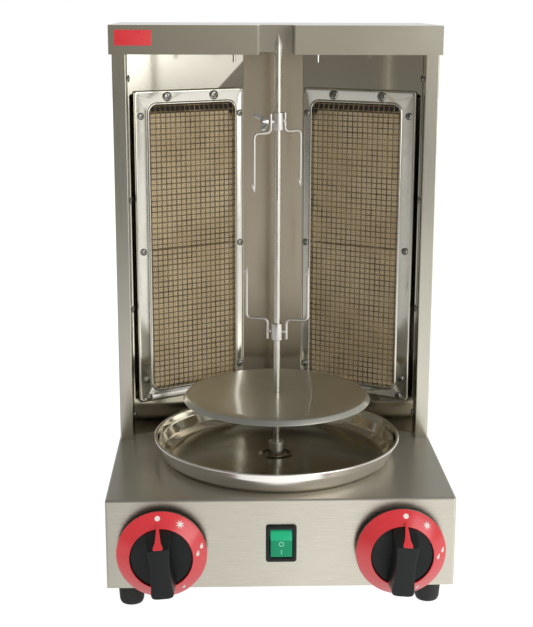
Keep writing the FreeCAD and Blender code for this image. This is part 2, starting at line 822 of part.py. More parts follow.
# Drive
bush_radius = 7.0
drive_radius = 4.0
socket_radius = 6.9
socket_low = z_top + 1.9
socket_high = z_top + 13.6
square_side = 5.0
gearbox_high = z_top - 14.0
gearbox_height = 22.0
motor_radius = 24.0
gearbox_radius = 30.0
motor_offset = 16.0


def drive_socket():
    head = turned([
        (0, socket_low), (socket_radius, socket_low), (socket_radius, socket_high - 0.8),
        (socket_radius - 0.8, socket_high), (0, socket_high),
    ], V(0, spit_y, 0))
    shank_low = gearbox_high - 14.0
    shank = rod(drive_radius, V(0, spit_y, shank_low), UP, socket_low - shank_low)
    half = square_side / 2 + 0.15
    square = block(-half, half, spit_y - half, spit_y + half, socket_high - 10.0, socket_high + 1)
    return join([head, shank]).cut(square)


def shaft_bush():
    flange = rod(8.4, V(0, spit_y, z_top), UP, 1.5)
    body = rod(bush_radius, V(0, spit_y, z_top - 7.0), UP, 7.0)
    bore = rod(drive_radius + running_gap, V(0, spit_y, z_top - 10), UP, 15)
    return join([flange, body]).cut(bore)


def gear_motor():
    centre = V(0, spit_y + motor_offset, gearbox_high - gearbox_height)
    gearbox = rod(gearbox_radius, centre, UP, gearbox_height)
    motor = rod(motor_radius, centre - V(0, 0, 20.0), UP, 20.0)
    ear = block(-36, 36, centre.y - 6, centre.y + 6, gearbox_high - 2.0, gearbox_high)
    whole = join([gearbox, motor, ear])
    bore = rod(drive_radius + running_gap, V(0, spit_y, gearbox_high - 16.0), UP, 20)
    return whole.cut(bore)


def motor_bracket():
    # Bridge under the base top that the gear motor hangs from
    low = gearbox_high
    plate = block(-42, 42, spit_y - 20, spit_y + 40, low, low + 1.5)
    pieces = [plate]
    for side in (-1, 1):
        x_in = side * 40.5
        x_out = side * 42.0
        x0, x1 = min(x_in, x_out), max(x_in, x_out)
        pieces.append(block(x0, x1, spit_y - 20, spit_y + 40, low, z_top - sheet))
        x0, x1 = min(x_out, side * 54.0), max(x_out, side * 54.0)
        pieces.append(block(x0, x1, spit_y - 20, spit_y + 40, z_top - sheet - 1.5, z_top - sheet))
    return join(pieces).cut(rod(9.0, V(0, spit_y, low - 1), UP, 5))


# Spit, plate, forks and pan
def spit_rod():
    # Rod with a square foot, a shoulder for the plate and a pointed tip
    half = square_side / 2
    foot_low = socket_high - 9.5
    tip = z_top + spit_tip
    shoulder_high = z_top + plate_top - plate_sheet - 9.0
    shaft = turned([
        (0, socket_high + 0.1), (spit_foot_radius, socket_high + 0.1),
        (spit_foot_radius, shoulder_high - 5.0), (5.5, shoulder_high - 5.0),
        (5.5, shoulder_high), (spit_radius, shoulder_high),
        (spit_radius, tip - spit_taper), (0.5, tip), (0, tip),
    ], V(0, spit_y, 0))
    foot = block(-half, half, spit_y - half, spit_y + half, foot_low, socket_high + 0.1)
    return join([shaft, foot])


def meat_plate():
    top = z_top + plate_top
    hub_low = top - plate_sheet - 9.0
    bore = spit_radius + running_gap
    rim_low = top - plate_drop
    return turned([
        (bore, hub_low), (8.0, hub_low), (8.0, top - plate_sheet), (plate_flat_radius, top - plate_sheet),
        (plate_radius - 1.0, rim_low), (plate_radius, rim_low + 0.4), (plate_flat_radius + 0.4, top),
        (bore, top),
    ], V(0, spit_y, 0))


def fork(collar_low, heading, arm_drop, prongs_up, screw_heading):
    # Collar with two bent wires; the outline below is for prongs that point down
    collar_high = collar_low + fork_collar_height
    axis = V(0, spit_y, 0)
    body = rod(fork_collar_radius, axis + V(0, 0, collar_low), UP, fork_collar_height)
    leg = [(leg_reach, -0.8), (leg_reach, -arm_drop), (fork_reach, -arm_drop), (fork_reach, -prong_drop)]
    wire_bends = 3.0
    pieces = [body]
    for side in (0, 180):
        angle = math.radians(heading + side)
        out = V(math.cos(angle), math.sin(angle), 0)
        points = []
        for reach, drop in leg:
            height = collar_low - drop if prongs_up else collar_high + drop
            points.append(axis + out * reach + V(0, 0, height))
        pieces.append(pipe(points, wire_bends, fork_wire))
        weld = axis + out * (fork_collar_radius - 0.8) + V(0, 0, collar_low + fork_collar_height / 2)
        pieces.append(rod(weld_radius, weld, out, leg_reach - fork_collar_radius + 0.8))
        end = points[-1]
        down = UP if prongs_up else V(0, 0, -1)
        pieces.append(Part.makeCone(fork_wire, 0.25, 7.0, end, down))
        pieces.append(barb(end, down, heading))
    whole = join(pieces)
    aim = math.radians(screw_heading)
    screw_line = V(math.cos(aim), math.sin(aim), 0)
    middle = axis + V(0, 0, collar_low + fork_collar_height / 2)
    cutters = [
        rod(spit_radius + running_gap, axis + V(0, 0, collar_low - 1), UP, fork_collar_height + 2),
        rod(wing_shank + running_gap, middle, screw_line, leg_reach + 4.0),
    ]
    return carve(whole, cutters)


def barb(end, down, heading):
    # Small hook plate beside the point of a prong
    angle = math.radians(heading)
    across = V(math.cos(angle), math.sin(angle), 0)
    if across.x > 0:
        across = across * -1
    thickness = V(-across.y, across.x, 0)
    corners = [end + down * 4.5, end + down * 0.2 + across * 0.4, end - down * 2.4 + across * 2.4]
    face = Part.Face(Part.makePolygon(corners + corners[:1]))
    solid = face.extrude(thickness * 0.9)
    solid.translate(thickness * -0.45)
    return solid


def wing_screw(collar_low, heading, roll):
    # Thumbscrew that points out of the collar: shank, hub and two ears
    shank_start = spit_radius + 0.1
    hub_start = fork_collar_radius + 4.7
    hub_end = hub_start + 6.0
    shank = Part.makeCylinder(wing_shank, hub_start - shank_start, V(0, 0, shank_start), UP)
    hub = Part.makeCone(3.6, 3.0, hub_end - hub_start, V(0, 0, hub_start), UP)
    pieces = [shank, hub]
    thickness = 1.5
    for side in (-1, 1):
        corners = [
            V(0, side * 0.5, hub_start + 0.8), V(0, side * 5.5, hub_start + 1.8),
            V(0, side * 11.0, hub_start + 5.0), V(0, side * 12.4, hub_start + 8.0),
            V(0, side * 10.8, hub_start + 10.2), V(0, side * 7.6, hub_start + 9.6),
            V(0, side * 3.0, hub_start + 5.8), V(0, side * 0.5, hub_start + 5.6),
        ]
        ear = Part.Face(Part.makePolygon(corners + corners[:1])).extrude(V(thickness, 0, 0))
        ear.translate(V(-thickness / 2, 0, 0))
        pieces.append(ear)
    whole = join(pieces)
    spin = FreeCAD.Rotation(UP, roll)
    aim = math.radians(heading)
    turn = FreeCAD.Rotation(UP, V(math.cos(aim), math.sin(aim), 0))
    seat = V(0, spit_y, collar_low + fork_collar_height / 2)
    whole.Placement = FreeCAD.Placement(seat, turn.multiply(spin))
    return whole


def drip_pan():
    # Round dish with a curved foot, a rolled rim and a raised collar at its centre hole
    floor = z_top + 0.1
    rim_z = floor + pan_height
    lip = floor + 1.8
    rim_width = 2.4
    inside = pan_sheet
    wall_top = pan_radius - rim_width
    outline = [
        V(pan_hole_radius, 0, lip), V(pan_hole_radius + 0.6, 0, lip + 0.5),
        V(pan_hole_radius + 4.4, 0, floor + inside), V(pan_floor_radius, 0, floor + inside),
    ]
    curve_in = Part.Arc(outline[-1], V(pan_floor_radius + 2.42, 0, floor + 1.61),
                        V(pan_floor_radius + 3.85, 0, floor + 3.72))
    rim_points = [
        V(pan_floor_radius + 3.85, 0, floor + 3.72), V(wall_top - 0.6, 0, rim_z - 0.8),
        V(wall_top + 0.6, 0, rim_z), V(pan_radius - 0.8, 0, rim_z), V(pan_radius, 0, rim_z - 0.8),
        V(pan_radius, 0, rim_z - 1.8), V(pan_radius - inside, 0, rim_z - 1.8),
        V(pan_radius - inside, 0, rim_z - inside), V(wall_top + 0.25, 0, rim_z - inside),
        V(pan_floor_radius + 4.62, 0, floor + 3.51),
    ]
    curve_out = Part.Arc(rim_points[-1], V(pan_floor_radius + 2.9, 0, floor + 0.98),
                         V(pan_floor_radius, 0, floor))
    close_points = [
        V(pan_floor_radius, 0, floor), V(pan_hole_radius + 3.9, 0, floor),
        V(pan_hole_radius + 0.7, 0, lip - 0.4), V(pan_hole_radius, 0, lip),
    ]
    edges = [Part.makePolygon(outline), Part.Wire(curve_in.toShape()), Part.makePolygon(rim_points),
             Part.Wire(curve_out.toShape()), Part.makePolygon(close_points)]
    loop = Part.Wire([edge for wire in edges for edge in wire.Edges])
    dish = Part.Face(loop).revolve(V(0, 0, 0), UP, 360)
    dish.translate(V(0, spit_y, 0))
    return dish


# Mains inlet pieces
grommet_x = -110.0
grommet_z = z_low + 30.0
grommet_neck_radius = 6.5
cord_bore_radius = 3.5


def cord_grommet():
    start = V(grommet_x, y_back - 4.0, grommet_z)
    neck = rod(grommet_neck_radius, start, BACK, 8.0)
    outside = rod(9.5, V(grommet_x, y_back, grommet_z), BACK, 3.0)
    nose = Part.makeCone(6.5, 5.2, 7.0, V(grommet_x, y_back + 3.0, grommet_z), BACK)
    inside = rod(8.5, V(grommet_x, y_back - sheet - 3.0, grommet_z), BACK, 3.0)
    bore = rod(cord_bore_radius, start - V(0, 2, 0), BACK, 20.0)
    return join([neck, outside, nose, inside]).cut(bore)


def terminal_block():
    low = z_low + sheet
    base = block(-126, -94, 96, 114, low, low + 8.0)
    posts = [block(x, x + 8.0, 99, 111, low + 8.0, low + 16.0) for x in (-125.0, -114.0, -103.0)]
    cutters = [rod(2.2, V(x, 105, low + 9.0), UP, 9.0) for x in (-121.0, -110.0, -99.0)]
    return carve(join([base] + posts), cutters)


upper_collar_low = z_top + 301.5
lower_collar_low = z_top + 110.8
upper_screw_heading = 200.0
lower_screw_heading = 88.0


def all_nodes():
    knob, ring = split_knob()
    nodes = {
        "base_shell": base_shell(),
        "base_back_panel": base_back_panel(),
        "base_bottom_plate": base_bottom_plate(),
        "case_screws": group([base_screws(), tower_screws()]),
        "foot_screws": foot_screws(),
        "tower_left_side": tower_side(),
        "tower_back_cover": tower_back_cover(),
        "centre_back_panel": centre_back_panel(),
        "top_cap": top_cap(),
        "cap_brace": cap_brace(),
        "cap_studs": cap_studs(),
        "burner_frame_screws": group([frame_screws(lambda shape: shape), frame_screws(mirrored)]),
        "gas_injectors": group([injector(), mirrored(injector())]),
        "gas_supply_pipe": gas_supply_pipe(),
        "gear_motor": gear_motor(),
        "motor_bracket": motor_bracket(),
        "shaft_bush": shaft_bush(),
        "drive_socket": drive_socket(),
        "spit_rod": spit_rod(),
        "meat_plate": meat_plate(),
        "upper_fork": fork(upper_collar_low, upper_fork_turn, 17.2, False, upper_screw_heading),
        "lower_fork": fork(lower_collar_low, lower_fork_turn, 19.3, True, lower_screw_heading),
        "upper_wing_screw": wing_screw(upper_collar_low, upper_screw_heading, -13.4),
        "lower_wing_screw": wing_screw(lower_collar_low, lower_screw_heading, -2.0),
        "drip_pan": drip_pan(),
        "switch_housing": switch_housing(),
        "switch_rocker": switch_rocker(),
        "cord_grommet": cord_grommet(),
        "terminal_block": terminal_block(),
    }
    nodes["tower_right_side"] = mirrored(nodes["tower_left_side"])
    for name, centre in foot_centres().items():
        nodes[name] = rubber_foot(centre)
    left_pieces = {
        "burner_panel": burner_panel(),
        "burner_frame": burner_frame(),
        "burner_mesh": burner_mesh(),
        "ceramic_tiles": ceramic_tiles(),
        "tile_gasket": tile_gasket(),
        "burner_housing": burner_housing(),
        "mixing_tube": mixing_tube(),
        "gas_valve": gas_valve(),
        "valve_spindle": valve_spindle(),
        "spindle_collar": spindle_collar(),
        "feed_pipe": feed_pipe(),
        "knob_body": knob,
        "knob_ring": ring,
    }
    for name, shape in left_pieces.items():
        nodes["left_" + name] = shape
        nodes["right_" + name] = mirrored(shape)
    return nodes


os.makedirs("parts", exist_ok=True)
for name, shape in sorted(all_nodes().items()):
    shape.exportStep("parts/" + name + ".step")
    print(name, "solids", len(shape.Solids), "valid", shape.isValid(), "mm3", round(shape.Volume))
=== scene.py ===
import json
import math

import bpy
from bpy.props import FloatProperty, FloatVectorProperty, PointerProperty
from mathutils import Matrix, Vector

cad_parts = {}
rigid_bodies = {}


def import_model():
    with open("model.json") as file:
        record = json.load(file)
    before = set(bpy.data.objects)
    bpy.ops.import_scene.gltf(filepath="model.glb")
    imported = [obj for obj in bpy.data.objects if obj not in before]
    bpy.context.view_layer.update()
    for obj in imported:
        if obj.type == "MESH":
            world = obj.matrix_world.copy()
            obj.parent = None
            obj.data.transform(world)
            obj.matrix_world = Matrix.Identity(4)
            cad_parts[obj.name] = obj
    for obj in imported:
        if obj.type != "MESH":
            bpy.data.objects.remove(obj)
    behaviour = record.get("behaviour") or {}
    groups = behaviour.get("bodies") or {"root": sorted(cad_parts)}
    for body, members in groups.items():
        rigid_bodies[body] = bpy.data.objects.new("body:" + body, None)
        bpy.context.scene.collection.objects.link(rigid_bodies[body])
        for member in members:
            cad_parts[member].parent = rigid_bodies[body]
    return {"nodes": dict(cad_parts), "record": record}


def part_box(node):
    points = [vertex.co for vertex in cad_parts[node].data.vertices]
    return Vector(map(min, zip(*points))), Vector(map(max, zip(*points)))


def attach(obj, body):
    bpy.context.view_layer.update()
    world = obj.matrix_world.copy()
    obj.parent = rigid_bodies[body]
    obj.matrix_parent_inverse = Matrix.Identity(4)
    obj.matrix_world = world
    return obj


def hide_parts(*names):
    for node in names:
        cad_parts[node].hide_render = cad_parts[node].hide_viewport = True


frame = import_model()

bl_info = {
    "name": "Gas Kebab Grill",
    "version": (1, 0, 0),
    "blender": (4, 5, 0),
    "location": "View3D > Sidebar > Kebab Grill",
    "description": "Models the visible pieces, finishes and stage of a tabletop gas kebab grill",
    "category": "Object",
}

MM = 0.001
UP = Vector((0, 0, 1))
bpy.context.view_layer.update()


def middle_of(name):
    low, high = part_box(name)
    return (low + high) / 2


# Places read from the frame
BASE_LOW, BASE_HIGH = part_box("base_shell")
BASE_TOP = BASE_HIGH.z
CAP_LOW, CAP_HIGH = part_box("top_cap")
SPIT_LINE = Vector((0, middle_of("drive_socket").y, BASE_TOP))
KNOB = middle_of("right_valve_spindle")
SWITCH_Z = middle_of("switch_housing").z

# The burner panels' corner and slope, as in the part
PANEL_X = 136.0
PANEL_Y = 24.0
PANEL_TURN = math.radians(30)


def length(name, description, default):
    return FloatProperty(name=name, description=description, default=default * MM, min=0.2 * MM,
                         max=20 * MM, unit="LENGTH")


def colour_of(name, description, default):
    return FloatVectorProperty(name=name, description=description, default=default, min=0, max=1,
                               subtype="COLOR")


class GrillSizes(bpy.types.PropertyGroup):
    """Sizes that a user may change"""

    wire_pitch: length("Wire pitch", "Distance between two wires of the guard mesh", 5.22)
    wire_radius: length("Wire radius", "Radius of the guard mesh's wires", 0.56)
    prong_radius: length("Prong radius", "Radius of the wire that the forks are bent from", 1.3)


class GrillColours(bpy.types.PropertyGroup):
    """Colours that a user may change"""

    satin_steel: colour_of("Satin steel", "Colour of the sheet metal", (0.62, 0.59, 0.50))
    polished_steel: colour_of("Polished steel", "Colour of the polished metal", (0.69, 0.665, 0.58))
    knob_red: colour_of("Knob red", "Colour of the knobs' rings", (0.72, 0.02, 0.03))
    knob_black: colour_of("Knob black", "Colour of the knobs' bodies", (0.008, 0.011, 0.010))
    rocker_green: colour_of("Rocker green", "Colour of the switch's rocker", (0.004, 0.26, 0.12))
    ceramic: colour_of("Ceramic", "Colour of the burner tiles", (0.96, 0.82, 0.56))


# Selecting and drawing

def deselect():
    if bpy.context.object and bpy.context.object.mode != "OBJECT":
        bpy.ops.object.mode_set(mode="OBJECT")
    bpy.ops.object.select_all(action="DESELECT")


def activate(piece):
    deselect()
    piece.select_set(True)
    bpy.context.view_layer.objects.active = piece


def edit(piece, action="SELECT"):
    activate(piece)
    bpy.ops.object.mode_set(mode="EDIT")
    bpy.ops.mesh.select_all(action=action)


def leave_edit():
    bpy.ops.object.mode_set(mode="OBJECT")


def named(piece, name):
    piece.name = name
    piece.data.name = name
    return piece


def outward(piece, merge=False):
    """Turns the faces outwards, with doubled points merged first where asked."""
    edit(piece)
    if merge:
        bpy.ops.mesh.remove_doubles(threshold=MM / 500)
    bpy.ops.mesh.normals_make_consistent(inside=False)
    leave_edit()
    return piece


def draw_line(name, points):
    """Draws a chain of edges through points in millimetres and stays in edit mode."""
    deselect()
    bpy.ops.mesh.primitive_plane_add(size=MM)
    piece = named(bpy.context.object, name)
    edit(piece)
    bpy.ops.mesh.merge(type="CENTER")
    places = [Vector(point) * MM for point in points]
    bpy.ops.transform.translate(value=places[0])
    for here, there in zip(places, places[1:]):
        bpy.ops.mesh.extrude_vertices_move(TRANSFORM_OT_translate={"value": there - here})
    return piece


ARC_STEPS = 5


def with_arcs(corners, radii, closed=False):
    """Rounds the corners of a line of points, each with its own radius."""
    corners = [Vector(corner) for corner in corners]
    count = len(corners)
    line = []
    for index, (corner, radius) in enumerate(zip(corners, radii)):
        back = corners[index - 1] - corner
        ahead = corners[(index + 1) % count] - corner
        sharp = radius <= 0 or (not closed and index in (0, count - 1))
        if sharp or back.angle(ahead) > math.radians(178):
            line.append(corner)
            continue
        half = back.angle(ahead) / 2
        trim = min(radius / math.tan(half), back.length * 0.49, ahead.length * 0.49)
        reach = trim * math.tan(half)
        back.normalize()
        ahead.normalize()
        centre = corner + (back + ahead).normalized() * (reach / math.sin(half))
        start = (corner + back * trim - centre).normalized()
        end = (corner + ahead * trim - centre).normalized()
        for step in range(ARC_STEPS + 1):
            line.append(centre + start.slerp(end, step / ARC_STEPS) * reach)
    return line


def turned(name, profile, steps, closed=True):
    """Spins an outline of (radius, height) about the upright axis. A corner's radius may follow."""
    corners = [(row[0], 0, row[1]) for row in profile]
    points = with_arcs(corners, [row[2] if len(row) > 2 else 0 for row in profile], closed)
    if closed:
        points.append(points[0])
    piece = draw_line(name, points)
    bpy.ops.mesh.select_all(action="SELECT")
    bpy.ops.mesh.spin(steps=steps, angle=2 * math.pi, center=(0, 0, 0), axis=UP)
    return outward(piece, merge=True)


def slab(name, outline, low, high, bend=0.0, bevel=0.0):
    """Fills a closed outline of (x, y) points and raises it from low to high."""
    corners = [(x, y, low) for x, y in outline]
    piece = draw_line(name, with_arcs(corners, [bend] * len(corners), closed=True))
    bpy.ops.mesh.select_all(action="SELECT")
    bpy.ops.mesh.edge_face_add()
    bpy.ops.mesh.extrude_region_move(TRANSFORM_OT_translate={"value": UP * (high - low) * MM})
    outward(piece)
    return soften(piece, bevel) if bevel else piece


def brick(name, low, high, bevel=0.0):
    """A block between two corners in millimetres, with rounded edges where asked."""
    low = Vector(low) * MM
    high = Vector(high) * MM
    deselect()
    bpy.ops.mesh.primitive_cube_add(size=1, location=(low + high) / 2)
    piece = named(bpy.context.object, name)
    piece.scale = high - low
    settle(piece)
    return soften(piece, bevel) if bevel else piece


def wire(name, points, radius, smooth):
    """A round wire with closed ends along a line of points."""
    draw_line(name, points)
    leave_edit()
    bpy.ops.object.convert(target="CURVE")
    curve = bpy.context.object.data
    curve.bevel_depth = radius
    curve.bevel_resolution = smooth
    curve.use_fill_caps = True
    bpy.ops.object.convert(target="MESH")
    return bpy.context.object


def window_frame(name, loops, arc_steps):
    """Bridges rounded rectangles (x0, x1, y0, y1, corner radius, height) from one to the next."""
    deselect()
    bpy.ops.mesh.primitive_plane_add(size=1)
    piece = named(bpy.context.object, name)
    edit(piece)
    for number, (x0, x1, y0, y1, radius, height) in enumerate(loops):
        if number:
            bpy.ops.mesh.select_all(action="DESELECT")
            bpy.ops.mesh.primitive_plane_add(size=1)
        bpy.ops.transform.resize(value=((x1 - x0) * MM, (y1 - y0) * MM, 1))
        bpy.ops.transform.translate(value=Vector(((x0 + x1) / 2, (y0 + y1) / 2, height)) * MM)
        bpy.ops.mesh.bevel(offset=radius * MM, segments=arc_steps, affect="VERTICES")
        bpy.ops.mesh.select_linked()
        piece.vertex_groups.active_index = piece.vertex_groups.new(name="loop %d" % number).index
        bpy.ops.object.vertex_group_assign()
    bpy.ops.mesh.select_all(action="SELECT")
    bpy.ops.mesh.delete(type="ONLY_FACE")
    for number in range(len(loops) - 1):
        bpy.ops.mesh.select_all(action="DESELECT")
        for index in (number, number + 1):
            piece.vertex_groups.active_index = index
            bpy.ops.object.vertex_group_select()
        bpy.ops.mesh.bridge_edge_loops()
    outward(piece)
    piece.vertex_groups.clear()
    return piece


# Finishing pieces

def apply_modifier(piece, kind, **settings):
    activate(piece)
    modifier = piece.modifiers.new(kind.lower(), kind)
    for key, value in settings.items():
        setattr(modifier, key, value)
    bpy.ops.object.modifier_apply(modifier=modifier.name)
    return piece


def soften(piece, width, angle=30):
    """Rounds the sharp edges by a width in millimetres."""
    return apply_modifier(piece, "BEVEL", width=width * MM, segments=3, limit_method="ANGLE",
                          angle_limit=math.radians(angle), use_clamp_overlap=True)


def thicken(piece, thickness, offset=-1):
    return apply_modifier(piece, "SOLIDIFY", thickness=thickness * MM, offset=offset, use_even_offset=True)


def carve(piece, tool, operation="DIFFERENCE"):
    """Takes the tool's shape out of the piece, or all but it, and deletes the tool."""
    apply_modifier(piece, "BOOLEAN", operation=operation, solver="EXACT", object=tool)
    bpy.data.objects.remove(tool)
    return piece


def settle(piece, matrix=None):
    """Applies a piece's place, or the matrix that it is given first."""
    if matrix is not None:
        piece.matrix_world = matrix
    activate(piece)
    bpy.ops.object.transform_apply(location=True, rotation=True, scale=True)
    return piece


def shift(piece, x=0.0, y=0.0, z=0.0):
    return settle(piece, Matrix.Translation(Vector((x, y, z)) * MM))


def turn(piece, angle, axis="Z"):
    return settle(piece, Matrix.Rotation(angle, 4, axis))


def on_spit(piece):
    """Moves a piece drawn round the origin, with zero height on the base's top, to the spit's line."""
    return settle(piece, Matrix.Translation(SPIT_LINE))


def face_front(piece, where, slope=0.0, roll=0.0):
    """Stands a piece that was drawn lying down, so that its top faces the front."""
    stand = Matrix.Rotation(slope, 4, "Z") @ Matrix.Rotation(math.pi / 2, 4, "X")
    return settle(piece, Matrix.Translation(where) @ stand @ Matrix.Rotation(roll, 4, "Z"))


def aim_at(direction):
    """The turn that points a piece's top in a direction."""
    return UP.rotation_difference(Vector(direction)).to_matrix().to_4x4()


def copy_of(piece, name):
    activate(piece)
    bpy.ops.object.duplicate(linked=False)
    return named(bpy.context.object, name)


def mirror_copy(piece, name):
    twin = copy_of(piece, name)
    twin.scale.x = -1
    return outward(settle(twin))


def joined(name, pieces):
    activate(pieces[0])
    for piece in pieces:
        piece.select_set(True)
    bpy.ops.object.join()
    return named(bpy.context.object, name)


FINISH = {}


def finish_piece(piece, body, slot, stands_for=None, finish=None, angle=35):
    """Smooths a piece, gives it its finish and hangs it on its body."""
    activate(piece)
    bpy.ops.object.shade_smooth_by_angle(angle=math.radians(angle))
    piece.data.materials.clear()
    piece.data.materials.append(FINISH[finish or slot].owner)
    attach(piece, body)
    if stands_for:
        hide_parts(stands_for)


# Building shaders

class Shader:
    """The node tree of a material or a world"""

    def __init__(self, owner):
        owner.use_nodes = True
        self.owner = owner
        self.nodes = owner.node_tree.nodes

    def feed(self, target, value):
        """Gives a socket a constant, or the output that feeds it."""
        if isinstance(value, bpy.types.NodeSocket):
            self.owner.node_tree.links.new(value, target)
        else:
            target.default_value = value

    def add(self, kind, inputs=(), **settings):
        made = self.nodes.new("ShaderNode" + kind)
        for key, value in settings.items():
            setattr(made, key, value)
        for key, value in dict(inputs).items():
            self.feed(made.inputs[key], value)
        return made.outputs

    def place(self, source="Object"):
        return self.add("TexCoord")[source]

    def parts(self, vector):
        return self.add("SeparateXYZ", {"Vector": vector})

    def maths(self, operation, *values):
        return self.add("Math", enumerate(values), operation=operation)[0]

    def measure(self, operation, *vectors):
        """A number made of one or two vectors."""
        return self.add("VectorMath", enumerate(vectors), operation=operation)["Value"]

    def mapped(self, value, low, high, to_low=0.0, to_high=1.0, kind="LINEAR"):
        """Carries a value from one range to another and holds it at both ends."""
        inputs = {"Value": value, "From Min": low, "From Max": high, "To Min": to_low, "To Max": to_high}
        return self.add("MapRange", inputs, interpolation_type=kind)["Result"]

    def mixed(self, factor, first, second, kind="RGBA"):
        return self.add("Mix", {"Factor": factor, "A": first, "B": second}, data_type=kind)["Result"]


class Skin(Shader):
    """A material that is built up on the sockets of its surface"""

    def __init__(self, name, colour, metallic, roughness, **sockets):
        super().__init__(bpy.data.materials.new(name))
        self.surface = self.nodes["Principled BSDF"].inputs
        self.colour = colour
        self.run("Base Color", (*colour, 1))
        self.run("Metallic", metallic)
        self.run("Roughness", roughness)
        for key, value in sockets.items():
            self.run(key.replace("_", " "), value)

    def run(self, key, value):
        """Lets a value run a socket of the surface."""
        self.feed(self.surface[key], value)

    def cover(self, key, mask, value):
        """Lays a colour or a level over what runs a socket, where the mask is 1."""
        kind = "RGBA" if key == "Base Color" else "FLOAT"
        self.run(key, self.mixed(mask, self.surface[key].links[0].from_socket, value, kind))

    def moved(self, **inputs):
        """Object coordinates that are moved, turned or scaled."""
        return self.add("Mapping", {"Vector": self.place(), **inputs})["Vector"]

    def noise(self, scale, stretch=(1, 1, 1), detail=4.0):
        inputs = {"Vector": self.moved(Scale=stretch), "Scale": scale, "Detail": detail}
        return self.add("TexNoise", inputs)["Fac"]

    def roughen(self, value, low, high):
        """Lets a value run the roughness, between two shares of the surface's own."""
        own = self.surface["Roughness"].default_value
        self.run("Roughness", self.mapped(value, 0.3, 0.7, own * low, own * high))

    def shaded(self, value, dark, light, low=0.3, high=0.7):
        """Runs from a dark to a light colour as a value grows."""
        ramp = self.add("ValToRGB", {"Fac": value})["Color"]
        for element, spot, colour in zip(ramp.node.color_ramp.elements, (low, high), (dark, light)):
            element.position = spot
            element.color = (*colour, 1)
        return ramp

    def cloud(self, value, amount):
        """Makes the colour darker and lighter by an amount."""
        dark = [part * (1 - amount) for part in self.colour]
        light = [min(1, part * (1 + amount)) for part in self.colour]
        self.run("Base Color", self.shaded(value, dark, light))

    def emboss(self, value, height, strength):
        """Turns a value into relief of a height in millimetres, on top of what is there."""
        inputs = {"Strength": strength, "Distance": height * MM, "Height": value}
        if self.surface["Normal"].links:
            inputs["Normal"] = self.surface["Normal"].links[0].from_socket
        self.run("Normal", self.add("Bump", inputs)["Normal"])

    def soft_mask(self, borders):
        """Is 1 inside all borders, each a direction and the places where the border starts and ends."""
        mask = None
        for direction, start, end in borders:
            along = self.measure("DOT_PRODUCT", self.place(), direction)
            inside = self.mapped(along, start * MM, end * MM, kind="SMOOTHSTEP")
            mask = self.maths("MULTIPLY", mask, inside) if mask else inside
        return mask

    def draw_out(self, amount):
        """Draws mirror images out across a grain that runs from side to side."""
        self.run("Anisotropic", amount)
        self.run("Anisotropic Rotation", 0.25)
        self.run("Tangent", self.add("CombineXYZ", {"X": 1, "Y": 0.02})["Vector"])
        return self


# Materials

SIDEWAYS = (1, 60, 60)
UPRIGHT = (60, 60, 1)


def satin_sheet(name, colour, roughness, stretch):
    """Cold-rolled stainless sheet: fine grain one way, faint waves and stains."""
    skin = Skin(name, colour, 1.0, roughness)
    grain = skin.noise(40, stretch, detail=3)
    skin.roughen(grain, 0.8, 1.2)
    skin.emboss(grain, 0.004, 0.35)
    skin.cloud(skin.noise(9, detail=3), 0.05)
    skin.emboss(skin.noise(7, detail=1), 0.35, 0.25)
    return skin


def dull_sheet(name, colour):
    """Satin sheet with mirror images drawn out, and rougher faces where it looks up."""
    skin = satin_sheet(name, colour, 0.3, SIDEWAYS)
    facing = skin.parts(skin.add("NewGeometry")["True Normal"])["Z"]
    own = skin.surface["Roughness"].links[0].from_socket
    skin.run("Roughness", skin.maths("MULTIPLY_ADD", facing, 0.1, own))
    return skin.draw_out(0.8)


def channel_shade_sheet(name, colour):
    """Satin sheet of the cap, dull in the channel of its front and darkened there with painted shade, with
    soft borders.
    """
    skin = satin_sheet(name, colour, 0.2, SIDEWAYS)
    deep = CAP_LOW.y / MM + 22.0
    top = CAP_HIGH.z / MM
    mask = skin.soft_mask([
        ((1, 0, 0), -20.0, -16.0), ((1, 0, 0), 19.0, 8.0), ((0, 1, 0), deep, deep - 3.0),
        ((0, 0, 1), top, top - 0.6)])
    skin.cover("Roughness", mask, 0.5)
    # Painted shade: the colour is darker inside the channel.
    skin.cover("Base Color", mask, (0.42, 0.39, 0.32, 1))
    return skin


def corner_shade_sheet(name, colour):
    """Bright sheet with a slanting patch of painted shade over the inner top corner of the left panel."""
    skin = satin_sheet(name, colour, 0.13, UPRIGHT)
    low = BASE_TOP / MM + 331.0
    mask = skin.soft_mask([
        ((-1.04, 0, 1), low + 56.8, low + 53.8), ((0, 0, 1), low - 8.0, low), ((-1, 0, 0), 5.0, 15.0)])
    # Painted shade: a dark colour over the slanting patch under the cap.
    skin.cover("Base Color", mask, (0.17, 0.155, 0.12, 1))
    return skin


def streaked_sheet(name, colour, roughness):
    """Cross-ground strip that draws every mirror image out upwards."""
    skin = Skin(name, colour, 1.0, roughness).draw_out(0.95)
    skin.cloud(skin.noise(30, (1, 1, 0.1), detail=3), 0.05)
    skin.emboss(skin.noise(9, detail=1), 0.15, 0.25)
    return skin


def polished_sheet(name, colour, roughness=0.09, wave=0.5, **sockets):
    """Polished pressed stainless with the slight waves of the press."""
    skin = Skin(name, colour, 1.0, roughness, **sockets)
    skin.roughen(skin.noise(90), 0.7, 1.5)
    skin.cloud(skin.noise(14, detail=3), 0.06)
    skin.emboss(skin.noise(28, detail=1), wave, 0.3)
    return skin


